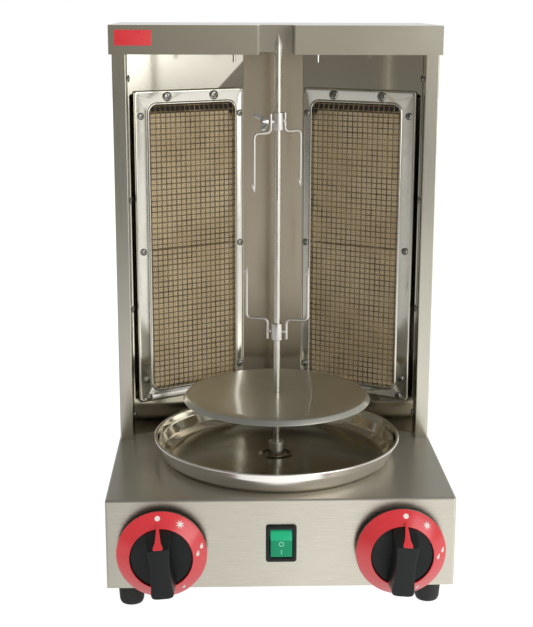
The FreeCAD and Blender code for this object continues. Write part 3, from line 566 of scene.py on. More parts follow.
def turned_plate(name, colour, roughness):
    """Satin plate finished on a wheel: rings of fine scratches under a thin film of fat."""
    skin = Skin(name, colour, 1.0, roughness, Coat_Weight=0.8, Coat_Roughness=0.07)
    centred = skin.moved(Location=(0, -SPIT_LINE.y, 0))
    inputs = {"Vector": centred, "Scale": 260, "Distortion": 3.5, "Detail": 4}
    rings = skin.add("TexWave", inputs, wave_type="RINGS", rings_direction="Z")["Fac"]
    skin.roughen(rings, 0.85, 1.15)
    skin.emboss(rings, 0.002, 0.3)
    skin.cloud(skin.noise(16), 0.07)
    skin.emboss(skin.noise(10, detail=1), 0.3, 0.3)
    return skin


def painted_light_pan(name, colour):
    """Pressed pan: polished wall, a satin outside lightened by a painted reflection, and a dulled floor
    darkened by painted shade under the plate.
    """
    skin = polished_sheet(name, colour, wave=0.9, Coat_Weight=0.4, Coat_Roughness=0.08)
    centred = skin.moved(Location=(0, -SPIT_LINE.y, 0), Scale=(1, 1, 0))
    floor = skin.mapped(skin.measure("LENGTH", centred), 0.102, 0.088)
    normal = skin.add("NewGeometry")["True Normal"]
    outside = skin.maths("GREATER_THAN", skin.measure("DOT_PRODUCT", centred, normal), 0.02)
    # The floor's dark tone is painted shade; the outside's pale tone is a painted reflection.
    for mask, tone in ((floor, (0.26, 0.24, 0.165, 1)), (outside, (0.93, 0.89, 0.84, 1))):
        skin.cover("Roughness", mask, 0.24)
        skin.cover("Base Color", mask, tone)
    return skin


def top_darkened_fibre(name):
    """Fibre gasket: the colour of the tiles, black along its top."""
    skin = Skin(name, (0.6, 0.5, 0.36), 0.0, 0.95)
    soot = skin.mapped(skin.parts(skin.place())["Z"], BASE_TOP + 300 * MM, BASE_TOP + 308 * MM)
    skin.run("Base Color", skin.mixed(soot, (0.82, 0.69, 0.46, 1), (0.04, 0.034, 0.025, 1)))
    skin.emboss(skin.noise(700), 0.2, 0.5)
    return skin


def heated_wire(name):
    """Guard wire browned by heat, with scale and soot."""
    skin = Skin(name, (0.22, 0.16, 0.09), 0.45, 0.5)
    skin.run("Base Color", skin.shaded(skin.noise(60), (0.11, 0.075, 0.04), (0.35, 0.26, 0.15)))
    skin.roughen(skin.noise(400), 0.8, 1.3)
    skin.emboss(skin.noise(1500), 0.05, 0.4)
    return skin


def ceramic_tile(name, colour, slope):
    """Porous tile with rows of fine flame holes."""
    skin = Skin(name, colour, 0.0, 0.9)
    rows = skin.parts(skin.moved(Rotation=(0, 0, slope), Scale=(500, 500, 500)))
    squares = [skin.maths("POWER", skin.maths("PINGPONG", rows[axis], 0.5), 2) for axis in "XZ"]
    clay = skin.mapped(skin.maths("ADD", *squares), 0.05, 0.11)
    dusty = [part * share for part, share in zip(colour, (0.82, 0.78, 0.72))]
    deep = [part * share for part, share in zip(colour, (0.55, 0.5, 0.45))]
    face = skin.shaded(skin.noise(25, detail=5), dusty, colour, 0.35, 0.65)
    # The flame holes get a deeper colour: painted shade inside them.
    skin.run("Base Color", skin.mixed(clay, (*deep, 1), face))
    skin.emboss(clay, 0.4, 0.6)
    skin.emboss(skin.noise(900, detail=3), 0.1, 0.5)
    return skin


def moulded(name, colour, roughness, grain=0.02, **sockets):
    """Moulded plastic or rubber with a fine skin."""
    skin = Skin(name, colour, 0.0, roughness, **sockets)
    skin.roughen(skin.noise(60), 0.85, 1.2)
    skin.cloud(skin.noise(20), 0.04)
    skin.emboss(skin.noise(1800), grain, 0.4)
    return skin


def glow_painted_rocker(name, colour):
    """Clear green plastic with painted light: it glows faintly, and more above the crease, where the upper
    facet faces up to the light.
    """
    skin = moulded(name, colour, 0.3, 0.005, Specular_IOR_Level=0.3, Emission_Color=(0.05, 0.9, 0.42, 1))
    crease = SWITCH_Z + 4 * MM
    height = skin.parts(skin.place())["Z"]
    # Painted light: the emission is stronger above the crease.
    skin.run("Emission Strength", skin.mapped(height, crease - 0.4 * MM, crease + 0.4 * MM, 0.05, 0.24))
    return skin


def cast_metal(name, colour, metallic, roughness, grain):
    """Plated, painted or machined metal with a fine grain."""
    skin = Skin(name, colour, metallic, roughness)
    skin.roughen(skin.noise(70), 0.75, 1.3)
    skin.cloud(skin.noise(30), 0.1)
    skin.emboss(skin.noise(900), grain, 0.5)
    return skin


class GRILL_OT_finishes(bpy.types.Operator):
    """Make the finishes and put them on the sheet metal and the hidden pieces of the CAD model"""

    bl_idname = "grill.finishes"
    bl_label = "Make Finishes"

    def execute(self, context):
        colours = context.scene.grill_colours
        steel = colours.satin_steel
        bright = colours.polished_steel
        side = satin_sheet("satin stainless upright", steel, 0.2, UPRIGHT)
        panel = corner_shade_sheet("bright rolled stainless", steel)
        # The browned wire finish is the guard meshes' real heat tint, and painted shade on the drive bush.
        browned = heated_wire("heat-browned wire")
        FINISH.update({
            "brushed_stainless": dull_sheet("satin stainless", steel),
            "top_cap": channel_shade_sheet("satin stainless cap", steel),
            "tower_left_side": side,
            "tower_right_side": side,
            "tower_back_cover": side,
            "left_burner_panel": panel,
            "right_burner_panel": panel,
            "centre_back_panel": streaked_sheet("cross-ground stainless", (0.5, 0.435, 0.335), 0.22),
            "burner_frames": polished_sheet("pressed frame stainless", (0.68, 0.655, 0.58), 0.13),
            "spit": polished_sheet("spit stainless", bright, 0.3, 0.1),
            "screws": polished_sheet("dark screw steel", (0.32, 0.31, 0.28), 0.16, 0.1),
            "fork_wire": polished_sheet("drawn stainless wire", (0.74, 0.71, 0.66), 0.34, 0.05),
            "polished_stainless": polished_sheet("polished stainless", bright),
            "pan": painted_light_pan("pressed pan stainless", bright),
            "plate": turned_plate("wheel-finished stainless", (0.66, 0.655, 0.575), 0.38),
            "bright_steel": polished_sheet("bright plated steel", (0.66, 0.65, 0.62), 0.12, 0.1),
            "zinc_steel": cast_metal("zinc plate", (0.5, 0.5, 0.49), 0.9, 0.4, 0.03),
            "mesh_wire": browned,
            # The bush wears the dark browned wire finish as painted shade, so that it reads as the dark hole
            # round the socket.
            "shaft_bush": browned,
            "gasket_fibre": top_darkened_fibre("sooted fibre gasket"),
            "brass": cast_metal("machined brass", (0.72, 0.52, 0.22), 1.0, 0.3, 0.01),
            "copper_pipe": cast_metal("drawn copper", (0.68, 0.36, 0.22), 1.0, 0.35, 0.01),
            "black_plastic": moulded("black plastic", colours.knob_black, 0.35, Specular_IOR_Level=0.3),
            "red_plastic": moulded("red plastic", colours.knob_red, 0.28, 0.005,
                                   Coat_Weight=0.7, Coat_IOR=1.65, Coat_Roughness=0.22),
            "green_plastic": glow_painted_rocker("green plastic", colours.rocker_green),
            "pale_print": moulded("pale green print", (0.25, 0.75, 0.5), 0.4, 0.003),
            "white_print": moulded("white print", (0.82, 0.78, 0.74), 0.5, 0.003),
            "motor_grey": cast_metal("motor enamel", (0.16, 0.16, 0.17), 0.2, 0.5, 0.03),
            "black_rubber": moulded("black rubber", (0.018, 0.018, 0.018), 0.7, 0.05),
        })
        # The right burner's tiles are painted at 0.8 of the colour: painted shade, as the window at the
        # right lights the left burner more.
        for name, slope, shade in (("left", -PANEL_TURN, 1.0), ("right", PANEL_TURN, 0.8)):
            tiles = name + "_ceramic_tiles"
            clay = [part * shade for part in colours.ceramic]
            FINISH[tiles] = ceramic_tile(tiles + " clay", clay, slope)
        for entry in frame["record"]["subparts"]:
            skin = FINISH.get(entry["node"]) or FINISH[entry["material_slot"]]
            for slot in frame["nodes"][entry["node"]].material_slots:
                slot.material = skin.owner
        return {"FINISHED"}


# Pieces round the spit

class GRILL_OT_drip_pan(bpy.types.Operator):
    """Turn the round drip pan with its rolled rim and raised centre"""

    bl_idname = "grill.drip_pan"
    bl_label = "Drip Pan"

    def execute(self, context):
        pan = turned("drip_pan_dish", [
            (12.8, 2.0, 0.2), (13.8, 2.0, 0.9), (16.6, 0.75, 1.4), (60, 0.6, 20.0), (99.6, 0.6, 5.0),
            (105.6, 5.6, 5.0), (109.6, 14.5, 8.0), (110.8, 21.0, 0.8), (113.0, 21.3, 0.8),
            (113.0, 20.1, 0.2)], 160, closed=False)
        thicken(pan, 0.7, offset=0)
        finish_piece(on_spit(pan), "drip_pan", "polished_stainless", "drip_pan", "pan", 50)
        return {"FINISHED"}


class GRILL_OT_spit(bpy.types.Operator):
    """Turn the spit rod, its square foot and the drive socket that takes it"""

    bl_idname = "grill.spit"
    bl_label = "Spit and Socket"

    def execute(self, context):
        rod = turned("spit_shaft", [
            (0, 13.7), (3.2, 13.7), (3.2, 45.8, 0.2), (5.5, 45.8, 0.6), (5.5, 50.8, 0.4), (3.1, 50.8),
            (3.1, 367.6, 0.1), (2.95, 367.9, 0.1), (2.95, 368.3, 0.1), (3.1, 368.6, 0.1), (3.1, 375.0, 3.0),
            (0.55, 384.0, 0.4), (0, 384.4)], 48)
        foot = brick("spit_foot", (-2.5, -2.5, 4.3), (2.5, 2.5, 13.8), 0.4)
        whole = on_spit(joined("spit_shaft", [rod, foot]))
        finish_piece(whole, "spit", "polished_stainless", "spit_rod", "spit")
        socket = turned("drive_socket_turned", [(0, 1.9), (6.9, 1.9, 0.3), (6.9, 13.6, 0.8), (0, 13.6)], 64)
        carve(socket, brick("square hole", (-2.65, -2.65, 3.6), (2.65, 2.65, 20)))
        shank = turned("drive_shaft", [(0, -27.9), (4.0, -27.9, 0.3), (4.0, 1.95), (0, 1.95)], 48)
        whole = on_spit(joined("drive_socket_turned", [socket, shank]))
        finish_piece(whole, "spit_drive", "bright_steel", "drive_socket", "fork_wire")
        return {"FINISHED"}


class GRILL_OT_meat_plate(bpy.types.Operator):
    """Turn the plate that carries the meat, with its turned-down rim and hub"""

    bl_idname = "grill.meat_plate"
    bl_label = "Meat Plate"

    def execute(self, context):
        plate = turned("meat_plate_disc", [
            (3.15, 50.8), (7.9, 50.8, 0.5), (7.9, 59.0), (8.6, 59.9, 1.0), (75.0, 59.9, 8.0),
            (82.0, 59.1, 5.0), (85.6, 55.4, 0.4), (86.4, 55.9, 0.4), (82.8, 60.1, 4.0), (75.6, 61.0, 9.0),
            (3.15, 61.0, 0.5)], 160)
        finish_piece(on_spit(plate), "plate", "brushed_stainless", "meat_plate", "plate", 60)
        return {"FINISHED"}


# Heights of the forks' collars above the base's top, how the forks are turned and where their arms run
FORKS = {
    "upper_fork": {"collar": 301.5, "turn": 41, "points_up": False, "arm": 17.2,
                   "screw": "upper_wing_screw", "aim": 200, "roll": -13.4},
    "lower_fork": {"collar": 110.8, "turn": -12, "points_up": True, "arm": 19.3,
                   "screw": "lower_wing_screw", "aim": 88, "roll": -2},
}
COLLAR_HEIGHT = 15.5
COLLAR_RADIUS = 5.2
LEG_REACH = 8.6
PRONG_REACH = 28.2
PRONG_DROP = 61.3


class GRILL_OT_forks(bpy.types.Operator):
    """Bend the two forks and weld them to their collars"""

    bl_idname = "grill.forks"
    bl_label = "Forks"

    def execute(self, context):
        thick = context.scene.grill_sizes.prong_radius
        for name, fork in FORKS.items():
            arm = -fork["arm"]
            pieces = [turned(name, [
                (3.15, 0), (COLLAR_RADIUS, 0, 0.5), (COLLAR_RADIUS, COLLAR_HEIGHT, 0.5),
                (3.15, COLLAR_HEIGHT)], 48)]
            leg = [(LEG_REACH, -0.8), (LEG_REACH, arm), (PRONG_REACH, arm), (PRONG_REACH, -PRONG_DROP)]
            for side in (-1, 1):
                points = [(side * reach, 0, COLLAR_HEIGHT + drop) for reach, drop in leg]
                pieces.append(outward(wire("leg", with_arcs(points, [4.2] * 4), thick, 4), merge=True))
                pieces.append(self.point(side))
                pieces.append(self.weld(side * (COLLAR_RADIUS + LEG_REACH) / 2))
            whole = joined(name + "_bent", pieces)
            if fork["points_up"]:
                shift(turn(whole, math.pi, "X"), z=COLLAR_HEIGHT)
            shift(turn(whole, math.radians(fork["turn"])), z=fork["collar"])
            finish_piece(on_spit(whole), name, "polished_stainless", name, "fork_wire")
        return {"FINISHED"}

    def point(self, side):
        """The ground spear point of a prong, flattened and barbed to one side."""
        low = COLLAR_HEIGHT - PRONG_DROP
        outline = [
            (-1.1, 0.6), (-1.0, -1.4), (-2.7, 0.8), (-2.3, -2.2), (0.2, -7.2), (1.2, -2.0), (1.15, 0.6)]
        tip = slab("point", [(x, low + y) for x, y in outline], -0.8, 0.8, bevel=0.35)
        return shift(turn(tip, math.pi / 2, "X"), side * PRONG_REACH)

    def weld(self, x):
        """A bead of weld between the leg and the collar."""
        deselect()
        bpy.ops.mesh.primitive_uv_sphere_add(segments=20, ring_count=10, radius=1.9 * MM)
        bead = bpy.context.object
        bead.scale = (1.15, 0.85, 1.05)
        bead.location = Vector((x, 0, COLLAR_HEIGHT / 2)) * MM
        return settle(bead)


class GRILL_OT_wing_screws(bpy.types.Operator):
    """Make the two wing screws that clamp the forks"""

    bl_idname = "grill.wing_screws"
    bl_label = "Wing Screws"

    def execute(self, context):
        hub = COLLAR_RADIUS + 4.7
        ear = [
            (0.5, 0.8), (5.5, 1.8), (11.0, 5.0), (12.4, 8.0), (10.8, 10.2), (7.6, 9.6), (3.0, 5.8),
            (0.5, 5.6)]
        for fork in FORKS.values():
            pieces = [turned("hub", [
                (0, 3.2), (1.6, 3.2, 0.3), (1.6, hub), (3.6, hub, 0.4), (3.0, hub + 6.0, 0.9),
                (0, hub + 6.0)], 32)]
            for side in (-1, 1):
                outline = [(side * x, hub + y) for x, y in ear]
                pieces.append(turn(slab("ear", outline, -0.95, 0.95, 2.0, 0.55), math.pi / 2, "X"))
            whole = joined(fork["screw"] + "_cast", pieces)
            aim = math.radians(fork["aim"])
            roll = Matrix.Rotation(math.radians(fork["roll"] + 90), 4, "Z")
            seat = SPIT_LINE + UP * (fork["collar"] + COLLAR_HEIGHT / 2) * MM
            settle(whole, Matrix.Translation(seat) @ aim_at((math.cos(aim), math.sin(aim), 0)) @ roll)
            finish_piece(whole, fork["screw"], "bright_steel", fork["screw"])
        return {"FINISHED"}


# Burners, drawn lying down: x runs inwards along the panel, y up from the base's top, z out of the panel

FRAME_RECT = (5.0, 122.0, 32.0, 331.5)
WINDOW_RECT = (20.5, 112.5, 43.5, 318.0)

# The pressed frame from its outer edge inwards: how far each step grows, its corner radius and its height
FRAME_STEPS = (
    (-0.9, 2.4, 0.05), (-0.9, 2.4, 0.5), (-0.1, 3.0, 0.6), (0, 3.0, 1.4), (-0.25, 3.0, 2.1),
    (-0.8, 2.8, 2.7), (-1.7, 2.6, 3.0), (-2.9, 2.4, 2.95), (-3.8, 2.2, 2.7),
)
LIP_STEPS = (
    (2.9, 10.2, 2.7), (2.6, 10.0, 2.5), (2.2, 9.7, 2.6), (1.7, 9.3, 3.2), (1.2, 8.9, 3.5),
    (0.6, 8.3, 3.55), (0.1, 7.9, 3.2), (0, 7.8, 2.6), (0, 7.8, 0.8),
)


def stepped(rectangle, steps):
    """The loops of a frame that follow a rectangle."""
    x0, x1, y0, y1 = rectangle
    return [(x0 - grow, x1 + grow, y0 - grow, y1 + grow, radius, height) for grow, radius, height in steps]


def set_on_panel(piece):
    """Stands a burner piece on the left panel."""
    return face_front(piece, Vector((-PANEL_X * MM, PANEL_Y * MM, BASE_TOP)), PANEL_TURN)


class GRILL_OT_burner_frames(bpy.types.Operator):
    """Press the two burner frames with their rolled edges and raised lips"""

    bl_idname = "grill.burner_frames"
    bl_label = "Burner Frames"

    def execute(self, context):
        loops = stepped(FRAME_RECT, FRAME_STEPS) + stepped(WINDOW_RECT, LIP_STEPS)
        left = set_on_panel(thicken(window_frame("left_burner_frame_pressed", loops, 8), 0.6))
        right = mirror_copy(left, "right_burner_frame_pressed")
        for piece, node in ((left, "left_burner_frame"), (right, "right_burner_frame")):
            finish_piece(piece, "grill", "polished_stainless", node, "burner_frames", 50)
        return {"FINISHED"}


# Widths over which the guard mesh slopes back behind its frame: at the low end and at the high end of a line
SIDE_SLOPES = (4.5, 4.5)
END_SLOPES = (4.5, 10.0)

# The mesh's border height, its middle's rise above that, and a wire's swing as a share of its radius
MESH_LOW = -0.4
MESH_RISE = 3.0
CRIMP = 0.95


class GRILL_OT_burner_meshes(bpy.types.Operator):
    """Weave the two guard meshes, with borders that slope back behind the frames"""

    bl_idname = "grill.burner_meshes"
    bl_label = "Guard Meshes"

    def execute(self, context):
        self.radius = context.scene.grill_sizes.wire_radius
        self.pitch = context.scene.grill_sizes.wire_pitch / MM
        across = self.fitted(*WINDOW_RECT[:2], SIDE_SLOPES)
        along = self.fitted(*WINDOW_RECT[2:], END_SLOPES)
        wires = self.weave(across, along, True) + self.weave(along, across, False)
        left = set_on_panel(joined("left_burner_mesh_woven", wires))
        right = mirror_copy(left, "right_burner_mesh_woven")
        for piece, node in ((left, "left_burner_mesh"), (right, "right_burner_mesh")):
            finish_piece(piece, "grill", "mesh_wire", node, angle=80)
        return {"FINISHED"}

    def fitted(self, low, high, slopes):
        """Where a row of wires starts, how many fit behind a window's side, and the row's slopes."""
        count = int((high - low + 4) / self.pitch)
        return ((low + high - count * self.pitch) / 2, count, *slopes)

    def weave(self, beside, lengthwise, upright):
        """The wires of one direction: the outer ones one by one, the alike middle ones as two arrays."""
        count = beside[1]
        outer = 3
        step = Vector((upright, not upright, 0)) * 2 * self.pitch * MM
        pieces = []
        for index in range(count):
            if outer + 2 <= index < count - outer:
                continue
            line = self.crimped(index, beside, lengthwise, upright)
            if outer <= index < outer + 2:
                alike = (count - outer - index + 1) // 2
                apply_modifier(line, "ARRAY", count=alike, use_relative_offset=False,
                               use_constant_offset=True, constant_offset_displace=step)
            pieces.append(line)
        return pieces

    def crimped(self, index, beside, lengthwise, upright):
        """One wire that runs over and under the wires that it crosses."""
        side = beside[0] + (index + 0.5) * self.pitch
        start, crossings = lengthwise[:2]
        points = []
        for step in range(crossings * 2 + 1):
            run_out = start + step * self.pitch / 2
            height = min(self.rise(side, beside), self.rise(run_out, lengthwise))
            if step % 2:
                height += self.radius / MM * CRIMP * (-1 if (step // 2 + index + upright) % 2 else 1)
            points.append((side, run_out, height) if upright else (run_out, side, height))
        return wire("wire", points, self.radius, 1)

    def rise(self, spot, row):
        """Height of the mesh at a spot: it climbs from each border to its flat middle."""
        start, count, low_slope, high_slope = row
        share = min((spot - start) / low_slope, (start + count * self.pitch - spot) / high_slope, 1.0)
        share = max(share, 0.0)
        return MESH_LOW + MESH_RISE * share * share * (3 - 2 * share)


# Screws

FRAME_SCREWS = (
    (39.4, 325.2, "large"), (89.4, 325.2, "large"), (11.9, 308.0, "small"), (12.4, 180.3, "small"),
    (13.2, 54.6, "small"), (15.4, 36.8, "small"), (117.9, 307.0, "small"), (118.2, 180.3, "small"),
    (118.2, 56.2, "small"),
)
FRAME_FACE = 2.7
SIDE_SCREW_HEIGHTS = (23.0, 127.0, 231.0, 343.0)
SIDE_SCREW_Y = 18.5
COVER_SCREW_HEIGHTS = (20.0, 182.0, 344.0)
COVER_SCREW_X = 138.0
BASE_SCREW_Y = (-90.0, 0.0, 90.0)
BASE_SCREW_Z = 26.0


def pan_head(name, radius, height):
    """A pan-head screw with a cross recess, pointing down."""
    screw = turned(name, [
        (0, -4.0), (1.4, -4.0), (1.4, 0), (radius, 0, 0.1), (radius, height * 0.45, 0.5),
        (radius * 0.7, height * 0.9, 1.5), (0, height)], 24)
    slot = radius * 0.15
    arm = radius * 0.58
    for x, y in ((slot, arm), (arm, slot)):
        carve(screw, brick("recess", (-x, -y, height * 0.25), (x, y, height + 2)))
    return screw


class GRILL_OT_screws(bpy.types.Operator):
    """Make one screw of each size and copy it to every screw's place"""

    bl_idname = "grill.screws"
    bl_label = "Screws"

    def execute(self, context):
        patterns = {
            "large": pan_head("large screw", 4.5, 2.1), "small": pan_head("small screw", 3.3, 1.8),
        }
        screws = []
        for number, (x, y, size) in enumerate(FRAME_SCREWS):
            screw = turn(copy_of(patterns[size], "frame screw"), math.radians(17 + 37 * number))
            screws.append(set_on_panel(shift(screw, x, y, FRAME_FACE)))
        left = joined("left_frame_screws", screws)
        whole = joined("burner_frame_screws_cut", [left, mirror_copy(left, "right_frame_screws")])
        finish_piece(whole, "grill", "bright_steel", "burner_frame_screws", "screws")
        screws = []
        for number, (seat, facing) in enumerate(self.case_seats()):
            roll = Matrix.Rotation(math.radians(29 * number), 4, "Z")
            matrix = Matrix.Translation(Vector(seat) * MM) @ aim_at(facing) @ roll
            screws.append(settle(copy_of(patterns["small"], "case_screws_cut"), matrix))
        whole = joined("case_screws_cut", screws)
        finish_piece(whole, "grill", "bright_steel", "case_screws", "screws")
        for pattern in patterns.values():
            bpy.data.objects.remove(pattern)
        return {"FINISHED"}

    def case_seats(self):
        """Where the screws of the tower and the base sit, and which way they face."""
        base_top = BASE_TOP / MM
        seats = []
        for side in (-1, 1):
            for height in SIDE_SCREW_HEIGHTS:
                seats.append(((side * (PANEL_X - 1.0), SIDE_SCREW_Y, base_top + height), (-side, 0, 0)))
            for height in COVER_SCREW_HEIGHTS:
                seats.append(((side * COVER_SCREW_X, BASE_HIGH.y / MM - 1.0, base_top + height), (0, 1, 0)))
        for side in (-1, 1):
            for y in BASE_SCREW_Y:
                seats.append(((side * BASE_HIGH.x / MM, y, BASE_SCREW_Z), (side, 0, 0)))
        return seats


# Knobs, drawn lying down round their own line, with zero height on the base's front

KNOB_LEAN = math.radians(4.8)
GRIP_FRONT = 42.0
RING_INNER = 26.6
RING_OUTER = 38.1
RING_TOP = 20.0
RING_EDGE = 10.4
RING_SLOPE = math.atan2(RING_TOP - RING_EDGE, RING_OUTER - RING_INNER)

# Marks: their circle, their reach below and above the slope, the gap under them and the flames' lean
MARK_RADIUS = 33.2
PRINT = (-0.2, 0.12)
PRINT_GAP = 0.03
FLAME_LEAN = 18


class GRILL_OT_knobs(bpy.types.Operator):
    """Mould the two control knobs with their red rings, pointers and printed marks"""

    bl_idname = "grill.knobs"
    bl_label = "Knobs"

    def execute(self, context):
        for name, side in (("left_knob", -1), ("right_knob", 1)):
            pieces = (
                (self.ring(name), "red_plastic", name + "_ring", None),
                (self.body(name), "black_plastic", name + "_body", None),
                (self.marks(name), "red_plastic", None, "white_print"),
            )
            for piece, slot, stands_for, finish in pieces:
                face_front(piece, Vector((side * KNOB.x, BASE_LOW.y, KNOB.z)), roll=-side * KNOB_LEAN)
                finish_piece(piece, name, slot, stands_for, finish)
        return {"FINISHED"}

    def ring(self, name):
        ring = turned(name + "_ring_moulded", [
            (RING_INNER, 16.9), (RING_INNER, RING_TOP, 0.5), (RING_OUTER, RING_EDGE, 0.6), (38.6, 9.6, 0.4),
            (38.6, 8.5, 0.3), (37.0, 8.5)], 128)
        side = [(0.8, 30.6), (1.5, 26.0), (2.5, 21.0), (4.9, 17.2)]
        outline = [(-0.8, 30.6)] + side + [(-x, y) for x, y in side[:0:-1]]
        pointer = slab("pointer", outline, -1.6, 0.9, 0.9, 0.35)
        low = Vector((0, 17.2, GRIP_FRONT - 0.3))
        fall = Vector((0, 30.6, 17.6)) - low
        stretch = fall.length / fall.y
        pointer.scale.y = stretch
        settle(pointer)
        slide = Matrix.Translation(Vector((0, -low.y * stretch, 0)) * MM)
        tilt = Matrix.Rotation(math.atan2(fall.z, fall.y), 4, "X")
        settle(pointer, Matrix.Translation(low * MM) @ tilt @ slide)
        return joined(name + "_ring_moulded", [ring, pointer])

    def body(self, name):
        skirt = turned("skirt", [
            (0, 17.0), (25.9, 17.0, 0.3), (26.5, 17.8, 0.3), (26.5, 17.9), (37.9, 8.6), (37.9, 3.9, 0.6),
            (35.4, 3.9, 0.3), (35.4, 7.6), (25.6, 14.4), (8.0, 14.4), (8.0, 6.8), (0, 6.8)], 96)
        side = [
            (12.0, 26.4), (10.3, 16.0), (9.3, 7.0), (9.0, 0.0), (9.3, -7.0), (10.2, -16.0), (11.7, -26.2)]
        outline = side + [(-x, y) for x, y in reversed(side)]
        grip = slab("grip", outline, 16.0, GRIP_FRONT, bend=14.0)
        edit(grip, "DESELECT")
        leave_edit()
        for face in grip.data.polygons:
            face.select = face.normal.z > 0.9
        bpy.ops.object.mode_set(mode="EDIT")
        bpy.ops.transform.resize(value=(0.87, 1, 1))
        edit(grip)
        bpy.ops.mesh.bisect(plane_co=Vector((0, 17.6, GRIP_FRONT)) * MM, plane_no=(0, 0.93, 0.37),
                            use_fill=True, clear_outer=True)
        leave_edit()
        soften(grip, 0.9, 40)
        carve(grip, turned("round", [(0, 10), (26.4, 10), (26.4, 60), (0, 60)], 96), "INTERSECT")
        return joined(name + "_body_moulded", [skirt, grip])

    def marks(self, name):
        """Printed marks on the ring's slope: off, ignition, high flame, low flame."""
        low, high = PRINT
        star = []
        for point in range(16):
            reach = 1.5 if point % 2 else 4.3
            angle = math.radians(22.5 * point)
            star.append((reach * math.sin(angle), reach * math.cos(angle)))
        dot = turned("dot", [(0, low), (2.3, low), (2.3, high), (0, high)], 24)
        pieces = [
            self.on_slope(dot, MARK_RADIUS + 1, 0),
            self.on_slope(slab("star", star, low, high), MARK_RADIUS, 34),
        ]
        drop = [
            (0, 3.3), (1.0, 1.0), (1.75, -0.6), (1.5, -1.9), (0, -2.5), (-1.5, -1.9), (-1.75, -0.6),
            (-0.9, 1.0)]
        for size, offset, clockwise in ((1.0, -2.0, 88), (1.0, 2.0, 80), (0.8, 0, 150)):
            flame = slab("flame", [(x * size, y * size) for x, y in drop], low, high, bend=0.8)
            turn(flame, math.radians(clockwise - FLAME_LEAN))
            pieces.append(self.on_slope(flame, MARK_RADIUS + offset, clockwise))
        return joined(name + "_marks", pieces)

    def on_slope(self, piece, radius, clockwise):
        """Lays a flat mark on the ring's cone at a radius and a clock angle in degrees."""
        height = RING_EDGE + (RING_OUTER - radius) * math.tan(RING_SLOPE) + PRINT_GAP
        clock = Matrix.Rotation(math.radians(-clockwise), 4, "Z")
        out = Matrix.Translation(Vector((0, radius, height)) * MM)
        return settle(piece, clock @ out @ Matrix.Rotation(-RING_SLOPE, 4, "X"))


# Switch, drawn lying down round its centre

class GRILL_OT_switch(bpy.types.Operator):
    """Mould the rocker switch with its bezel, rocker and raised marks"""

    bl_idname = "grill.switch"
    bl_label = "Rocker Switch"

    def execute(self, context):
        where = Vector((0, BASE_LOW.y, SWITCH_Z))
        loops = stepped((-12.8, 12.8, -16.5, 16.5), [
            (0, 2.0, 0.02), (0, 2.0, 1.0), (-0.25, 1.8, 1.6), (-0.9, 1.4, 2.0)])
        loops += stepped((-9.7, 9.7, -13.1, 13.1), [
            (0.8, 1.2, 2.0), (0.2, 1.0, 1.7), (0, 0.9, 1.2), (0, 0.9, -18.0)])
        loops += [(-9.0, 9.0, -12.0, 12.0, 0.8, -18.0), (-1.0, 1.0, -1.0, 1.0, 0.3, -18.0)]
        pieces = [
            thicken(window_frame("switch_bezel", loops, 4), 0.4),
            brick("switch_body", (-10.7, -13.6, -24.0), (10.7, 13.6, -18.6), 0.5),
        ]
        for x in (-4.0, 4.0):
            for y in (-7.0, 7.0):
                pieces.append(brick("blade", (x - 0.4, y - 3.1, -31.9), (x + 0.4, y + 3.1, -23.8), 0.2))
        whole = face_front(joined("switch_bezel", pieces), where)
        finish_piece(whole, "grill", "black_plastic", "switch_housing")
        profile = [
            (11.2, 0.6), (4.2, 4.4), (3.4, 4.6), (-10.6, 4.7), (-11.2, 4.0), (-10.2, -3.0), (-4.0, -9.0),
            (4.0, -9.0), (10.6, -4.0)]
        rocker = slab("switch_rocker_moulded", [(-z, y) for y, z in profile], -9.2, 9.2, bevel=0.45)
        face_front(turn(rocker, math.pi / 2, "Y"), where)
        finish_piece(rocker, "rocker", "green_plastic", "switch_rocker")
        ring = turned("letter ring", [(1.5, 0), (2.3, 0), (2.3, 0.35, 0.1), (1.5, 0.35, 0.1)], 32)
        shift(ring, 0, 0.9, 4.55)
        outline = [(-0.4, -8.4), (0.4, -8.4), (0.4, -4.2), (-0.4, -4.2)]
        bar = slab("letter bar", outline, 4.55, 4.9, bevel=0.1)
        marks = face_front(joined("switch_marks", [ring, bar]), where)
        finish_piece(marks, "rocker", "green_plastic", finish="pale_print")
        return {"FINISHED"}


# Small pieces on the case

RED_PLATE_X = -129.0
RED_PLATE_HEIGHT = 379.8


class GRILL_OT_case_details(bpy.types.Operator):
    """Turn the feet and cut the bare red plate on the cap"""

    bl_idname = "grill.case_details"
    bl_label = "Case Details"

    def execute(self, context):
        for node in ("front_left_foot", "front_right_foot", "rear_left_foot", "rear_right_foot"):
            foot = turned(node + "_turned", [
                (2.1, 9.0), (5.0, 9.0, 0.5), (5.0, 0, 0.6), (9.4, 0, 1.2), (10.6, 3.0, 2.0),
                (11.7, 18.0, 0.6), (11.95, 20.95, 0.4), (2.1, 20.95)], 64)
            middle = middle_of(node)
            foot.location = (middle.x, middle.y, 0)
            finish_piece(settle(foot), "grill", "black_rubber", node)
        outline = [(-16.6, -6.9), (16.6, -6.9), (16.6, 6.9), (-16.6, 6.9)]
        plate = slab("blank_red_plate", outline, 0.02, 0.5, 0.8, 0.15)
        face_front(plate, Vector((RED_PLATE_X * MM, CAP_LOW.y, BASE_TOP + RED_PLATE_HEIGHT * MM)))
        finish_piece(plate, "grill", "red_plastic")
        return {"FINISHED"}


# Stage

